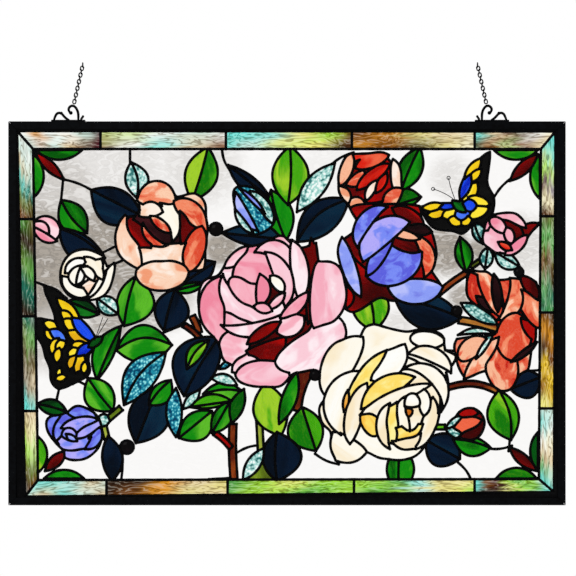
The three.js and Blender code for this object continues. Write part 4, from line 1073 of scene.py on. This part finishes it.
def addStrip(build, layers, quad, lanes):
    # one piece of a strip: front, back and rim of a grid, with its stain, tone and flow
    flowLayer, toneLayer, stainLayer = layers
    along, cross, waver = stripGrid["along"], stripGrid["over"], stripGrid["waver"]
    a, b, c, d = (place(*corner) for corner in quad)
    tone, shift = random.random(), random.uniform(0, 3)
    wave = [random.uniform(-1, 1) for row in range(cross + 1)]
    grids = []
    for depth in (-panel["glassHalf"], panel["glassHalf"]):
        grid = []
        for j in range(cross + 1):
            line = []
            for i in range(along + 1):
                s, r = i / along, j / cross
                p = a.lerp(b, s).lerp(d.lerp(c, s), r)
                v = build.verts.new((p.x, depth, p.y))
                t = s + stripGrid["slant"] * (r - 0.5) + waver * wave[j] * math.sin(math.pi * s)
                edge, core = (stopColour(lane, min(max(t, 0), 0.9999)) for lane in lanes)
                share = r + waver * 2 * wave[-1 - j] * math.cos(stripGrid["ripple"] * s + tone * 6)
                share = min(max(share, 0), 1)
                v[stainLayer] = [m + (n - m) * share for m, n in zip(edge, core)]
                v[toneLayer] = tone
                line.append((v, (s * (b - a).length + shift, r * stripGrid["wide"] + shift)))
            grid.append(line)
        grids.append(grid)
    front, back = grids
    cells = [[(j, i), (j, i + 1), (j + 1, i + 1), (j + 1, i)] for j in range(cross) for i in range(along)]
    rim = [(0, i) for i in range(along)] + [(j, along) for j in range(cross)]
    rim += [(cross, i) for i in range(along, 0, -1)] + [(j, 0) for j in range(cross, 0, -1)]
    faces = [[front[j][i] for j, i in cell] for cell in cells]
    faces += [[back[j][i] for j, i in reversed(cell)] for cell in cells]
    faces += [[front[j][i], back[j][i], back[m][k], front[m][k]] for (j, i), (m, k) in pairsRound(rim)]
    for corner in faces:
        face = build.faces.new([v for v, spot in corner])
        for loop, (v, spot) in zip(face.loops, corner):
            loop[flowLayer].uv = spot


for side, (shares, rows) in strips.items():
    build = bmesh.new()
    layers = (build.loops.layers.uv.new("flow"), build.verts.layers.float.new("tone"),
              build.verts.layers.float_color.new("stain"))
    for quad, lanes in zip(stripQuads(side), rows):
        addStrip(build, layers, quad, [[colour(*stains[name]) for name in lane.split()] for lane in lanes])
    name = "border" + side.capitalize()
    pane = newPiece(name, finishMesh(build, name), "glass_streaky", "border_" + side)
    pane.data.materials.append(stripGlass)
print("border glass done")

# Metal: near-black, with a faint unevenness
patina, given = newEffect("patina", Scale=220.0)
spot = put(patina, "ShaderNodeTexCoord").outputs["Object"]
grain = noise(patina, spot, given["Scale"], 3.0)
mixed = blend(patina, band(patina, grain, 0.35, 0.55), given["Dark"], given["Body"])
giveOut(patina, blend(patina, band(patina, grain, 0.62, 0.8), mixed, given["Light"]), grain)


def metalMaterial(name, dark, body, light, rough, bump, scale, shine):
    material = newMaterial(name)
    colours = colour(*dark), colour(*body), colour(*light)
    shader = lay(material, patina, *colours, rough, bump, 0.0004, Scale=scale)
    shader.inputs["Specular IOR Level"].default_value = shine
    return material


solderMetal = metalMaterial("solderMetal", (1, 1, 2), (3, 3, 4), (12, 12, 13), 0.42, 0.35, 260.0, 0.03)
blackMetal = metalMaterial("blackMetal", (2, 2, 3), (4, 5, 7), (10, 11, 13), 0.5, 0.15, 160.0, 0.03)
jewelGlass = metalMaterial("jewelGlass", (1, 0, 1), (3, 1, 2), (14, 4, 10), 0.12, 0.2, 90.0, 0.05)
solderLines.data.materials.append(solderMetal)

# Frame bars: the CAD channels with their long edges eased
for name in ("frame_top", "frame_right", "frame_bottom", "frame_left"):
    bar = frame["nodes"][name]
    bar.data.materials.clear()
    bar.data.materials.append(blackMetal)
    ease = bar.modifiers.new("ease", "BEVEL")
    ease.width = 0.0005
    ease.segments = 2
    ease.limit_method = "ANGLE"


def pick(objects):
    bpy.ops.object.select_all(action="DESELECT")
    for made in objects:
        made.select_set(True)
    bpy.context.view_layer.objects.active = objects[0]


def wire(name, line, radius, ends=1):
    # a round wire through places in metres, thinner at its ends where asked
    curve = bpy.data.curves.new(name, "CURVE")
    curve.dimensions = "3D"
    curve.bevel_depth = radius
    curve.bevel_resolution = 3
    curve.use_fill_caps = True
    spline = curve.splines.new("NURBS")
    spline.points.add(len(line) - 1)
    spline.order_u = 3
    spline.resolution_u = 6
    spline.use_endpoint_u = True
    for i, spot in enumerate(line):
        spline.points[i].co = (*spot, 1)
        spline.points[i].radius = ends if i in (0, len(line) - 1) else 1
    made = bpy.data.objects.new(name, curve)
    bpy.context.scene.collection.objects.link(made)
    pick([made])
    bpy.ops.object.convert(target="MESH")
    made = bpy.context.object
    made.data.shade_smooth()
    return made


def joined(name, parts):
    pick(parts)
    if len(parts) > 1:
        bpy.ops.object.join()
    whole = bpy.context.object
    whole.name = name
    bpy.ops.object.transform_apply(location=True, rotation=True, scale=True)
    bpy.ops.object.mode_set(mode="EDIT")
    bpy.ops.mesh.select_all(action="SELECT")
    bpy.ops.mesh.remove_doubles(threshold=1e-5)
    bpy.ops.mesh.normals_make_consistent(inside=False)
    bpy.ops.object.mode_set(mode="OBJECT")
    return whole


def ball(middle, radius, segments=20, rings=12):
    bpy.ops.mesh.primitive_uv_sphere_add(segments=segments, ring_count=rings, radius=radius, location=middle)
    made = bpy.context.object
    made.data.shade_smooth()
    return made


# Jewels: cast domes, a little flat on top
dome = {"gap": 0.0009, "half": 0.0040}
for i, (x, y, radius) in enumerate(jewels):
    middle = place(x, y)
    across = radius * square - dome["gap"]
    gem = ball((middle.x, 0, middle.y), across, 28, 16)
    gem.scale = (1, dome["half"] / across, 1)
    gem = joined(f"jewel{i + 1}", [gem])
    gem.data.materials.append(jewelGlass)
    dress(gem, "glass_plum", f"jewel_{i + 1}")
print("jewels done")

# Scroll hangers: lines and balls in squares from the hanger's middle and the frame's top edge, x towards
# the panel's middle, and the rest in metres
scroll = {
    "left": -0.312, "right": 0.292, "base": -0.0838, "wire": 0.0020, "tip": 0.8,
    "footLong": 0.050, "footDeep": 0.007, "footThick": 0.0024, "footShift": 5, "footEase": 0.0006,
    "lines": [[(5, -1), (5.2, -6), (4.6, -10), (2.4, -14.4), (-1, -16.2), (-4.2, -14.2), (-4.9, -11),
               (-3.2, -8.6)],
              [(-4, -1.2), (-6.5, -2.5), (-9.2, -5), (-12, -8.5), (-15.8, -8.6), (-18, -5.6), (-19.4, -1.4)],
              [(7.6, -1.2), (8.2, -3.2), (9.6, -4.6)]],
    "balls": [(-2.4, -8.6, 1.9), (-12, -8.2, 1.7), (9.7, -5, 1.3)],
}
frameTop = panel["middle"] + panel["tall"] / 2
for name, middle, mirror in (("Left", scroll["left"], 1), ("Right", scroll["right"], -1)):
    parts = []
    for line in scroll["lines"]:
        spots = [(middle + mirror * x * square, 0, frameTop - y * square) for x, y in line]
        parts.append(wire("scroll", spots, scroll["wire"], scroll["tip"]))
    for x, y, radius in scroll["balls"]:
        parts.append(ball((middle + mirror * x * square, 0, frameTop - y * square), radius * square))
    footAt = (middle - mirror * scroll["footShift"] * square, 0, scroll["base"])
    bpy.ops.mesh.primitive_cube_add(size=1, location=footAt)
    foot = bpy.context.object
    foot.scale = (scroll["footLong"], scroll["footDeep"], scroll["footThick"])
    bpy.ops.object.transform_apply(location=False, rotation=False, scale=True)
    bpy.ops.object.mode_set(mode="EDIT")
    bpy.ops.mesh.select_all(action="SELECT")
    bpy.ops.mesh.bevel(offset=scroll["footEase"], segments=2)
    bpy.ops.object.mode_set(mode="OBJECT")
    hanger = joined("hanger" + name, [foot] + parts)
    hanger.data.materials.append(blackMetal)
    dress(hanger, "black_metal", "hanger_" + name.lower())
print("hangers done")

# Chain: one oval link, copied up the lean, every other one turned a quarter
links = {"long": 0.0084, "wide": 0.0064, "wire": 0.0019, "count": 12, "lean": 0.014, "inset": 0.0016}
upright = (math.pi / 2, 0, 0)
bpy.ops.mesh.primitive_torus_add(major_segments=20, minor_segments=8, minor_radius=links["wire"] / 2,
                                 major_radius=(links["wide"] - links["wire"]) / 2, rotation=upright)
link = bpy.context.object
bpy.ops.object.transform_apply(location=False, rotation=True, scale=False)
for v in link.data.vertices:
    if abs(v.co.z) > 1e-5:
        v.co.z += math.copysign((links["long"] - links["wide"]) / 2, v.co.z)
link.data.shade_smooth()
for name, side in (("left", 1), ("right", -1)):
    low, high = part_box("chain_" + name)
    foot = Vector((low.x + links["inset"] if side > 0 else high.x - links["inset"], 0, low.z))
    top = Vector((foot.x + side * links["lean"], 0, high.z))
    end = (top - foot).normalized() * (links["long"] / 2)
    parts = []
    for i in range(links["count"]):
        copy = bpy.data.objects.new("link", link.data.copy())
        bpy.context.scene.collection.objects.link(copy)
        copy.location = (foot + end).lerp(top - end, i / (links["count"] - 1))
        copy.rotation_euler = (0, math.atan2(top.x - foot.x, top.z - foot.z), math.pi / 2 * (i % 2))
        parts.append(copy)
    chain = joined("chain" + name.capitalize(), parts)
    chain.data.materials.append(blackMetal)
    dress(chain, "black_metal", "chain_" + name)
bpy.data.objects.remove(link)
print("chains done")

# Antennae: two wires from each head, in front of the solder. Head, tips, sway and ring, in squares
antennae = {
    "left": ((95, 340), [(103, 317), (108, 318.5)], 0, 0),
    "right": ((455.5, 201), [(433, 189), (448.5, 178)], 2, 1.6),
}
antennaWire = {"half": 0.0006, "forward": -0.0040, "head": 0.0011}


def inFront(x, y):
    flat = place(x, y)
    return flat.x, antennaWire["forward"], flat.y


for name, (head, tips, sway, ring) in antennae.items():
    parts = [ball(inFront(*head), antennaWire["head"], 12, 8)]
    for tip, side in zip(tips, (1, -1)):
        middle = ((head[0] + tip[0]) / 2 + sway * side, (head[1] + tip[1]) / 2 - sway)
        parts.append(wire("feeler", [inFront(*head), inFront(*middle), inFront(*tip)], antennaWire["half"]))
        if ring:
            bpy.ops.mesh.primitive_torus_add(
                major_segments=18, minor_segments=6, major_radius=ring * square,
                minor_radius=antennaWire["half"], location=inFront(*tip), rotation=upright)
            parts.append(bpy.context.object)
    feelers = joined("antennae" + name.capitalize(), parts)
    feelers.data.materials.append(blackMetal)
    dress(feelers, "black_metal", "antennae_" + name)
print("antennae done")

# Stage: pale floor, soft even light, camera square on and far off
studio = {"floorWide": 3.2, "floorHeight": -1.3, "lampAt": (-1.2, -2.4, 1.0), "lampTilt": 60, "lampTurn": -26,
          "lampWide": 1.6, "lampPower": 22, "skyPower": 1.0}
bpy.ops.mesh.primitive_plane_add(size=studio["floorWide"], location=(0, 0, studio["floorHeight"]))
floor = bpy.context.object
floor.name = "floor"
paint = newMaterial("floorPaint")
tree = paint.node_tree
grain = noise(tree, put(tree, "ShaderNodeTexCoord").outputs["Object"], 6.0, 2.0)
pale = blend(tree, grain, (0.80, 0.80, 0.79, 1), (0.86, 0.86, 0.85, 1))
tree.links.new(pale, tree.nodes["Principled BSDF"].inputs["Base Color"])
tree.nodes["Principled BSDF"].inputs["Roughness"].default_value = 0.8
floor.data.materials.append(paint)
lampAngles = (math.radians(studio["lampTilt"]), 0, math.radians(studio["lampTurn"]))
bpy.ops.object.light_add(type="AREA", location=studio["lampAt"], rotation=lampAngles)
lamp = bpy.context.object
lamp.data.size = studio["lampWide"]
lamp.data.energy = studio["lampPower"]

world = bpy.data.worlds.new("studio")
bpy.context.scene.world = world
world.use_nodes = True
world.node_tree.nodes["Background"].inputs["Color"].default_value = (1, 1, 1, 1)
world.node_tree.nodes["Background"].inputs["Strength"].default_value = studio["skyPower"]
bpy.context.scene.view_settings.view_transform = "Standard"
bpy.context.scene.cycles.max_bounces = 8
bpy.context.scene.cycles.transmission_bounces = 6

view = {"away": 5.0, "x": 0.0015, "z": -0.3281, "wide": 0.8409}
bpy.ops.object.camera_add(location=(view["x"], -view["away"], view["z"]), rotation=upright)
camera = bpy.context.object
camera.data.lens = camera.data.sensor_width * view["away"] / view["wide"]
camera.data.clip_end = 50
bpy.context.scene.camera = camera

print("scene done")
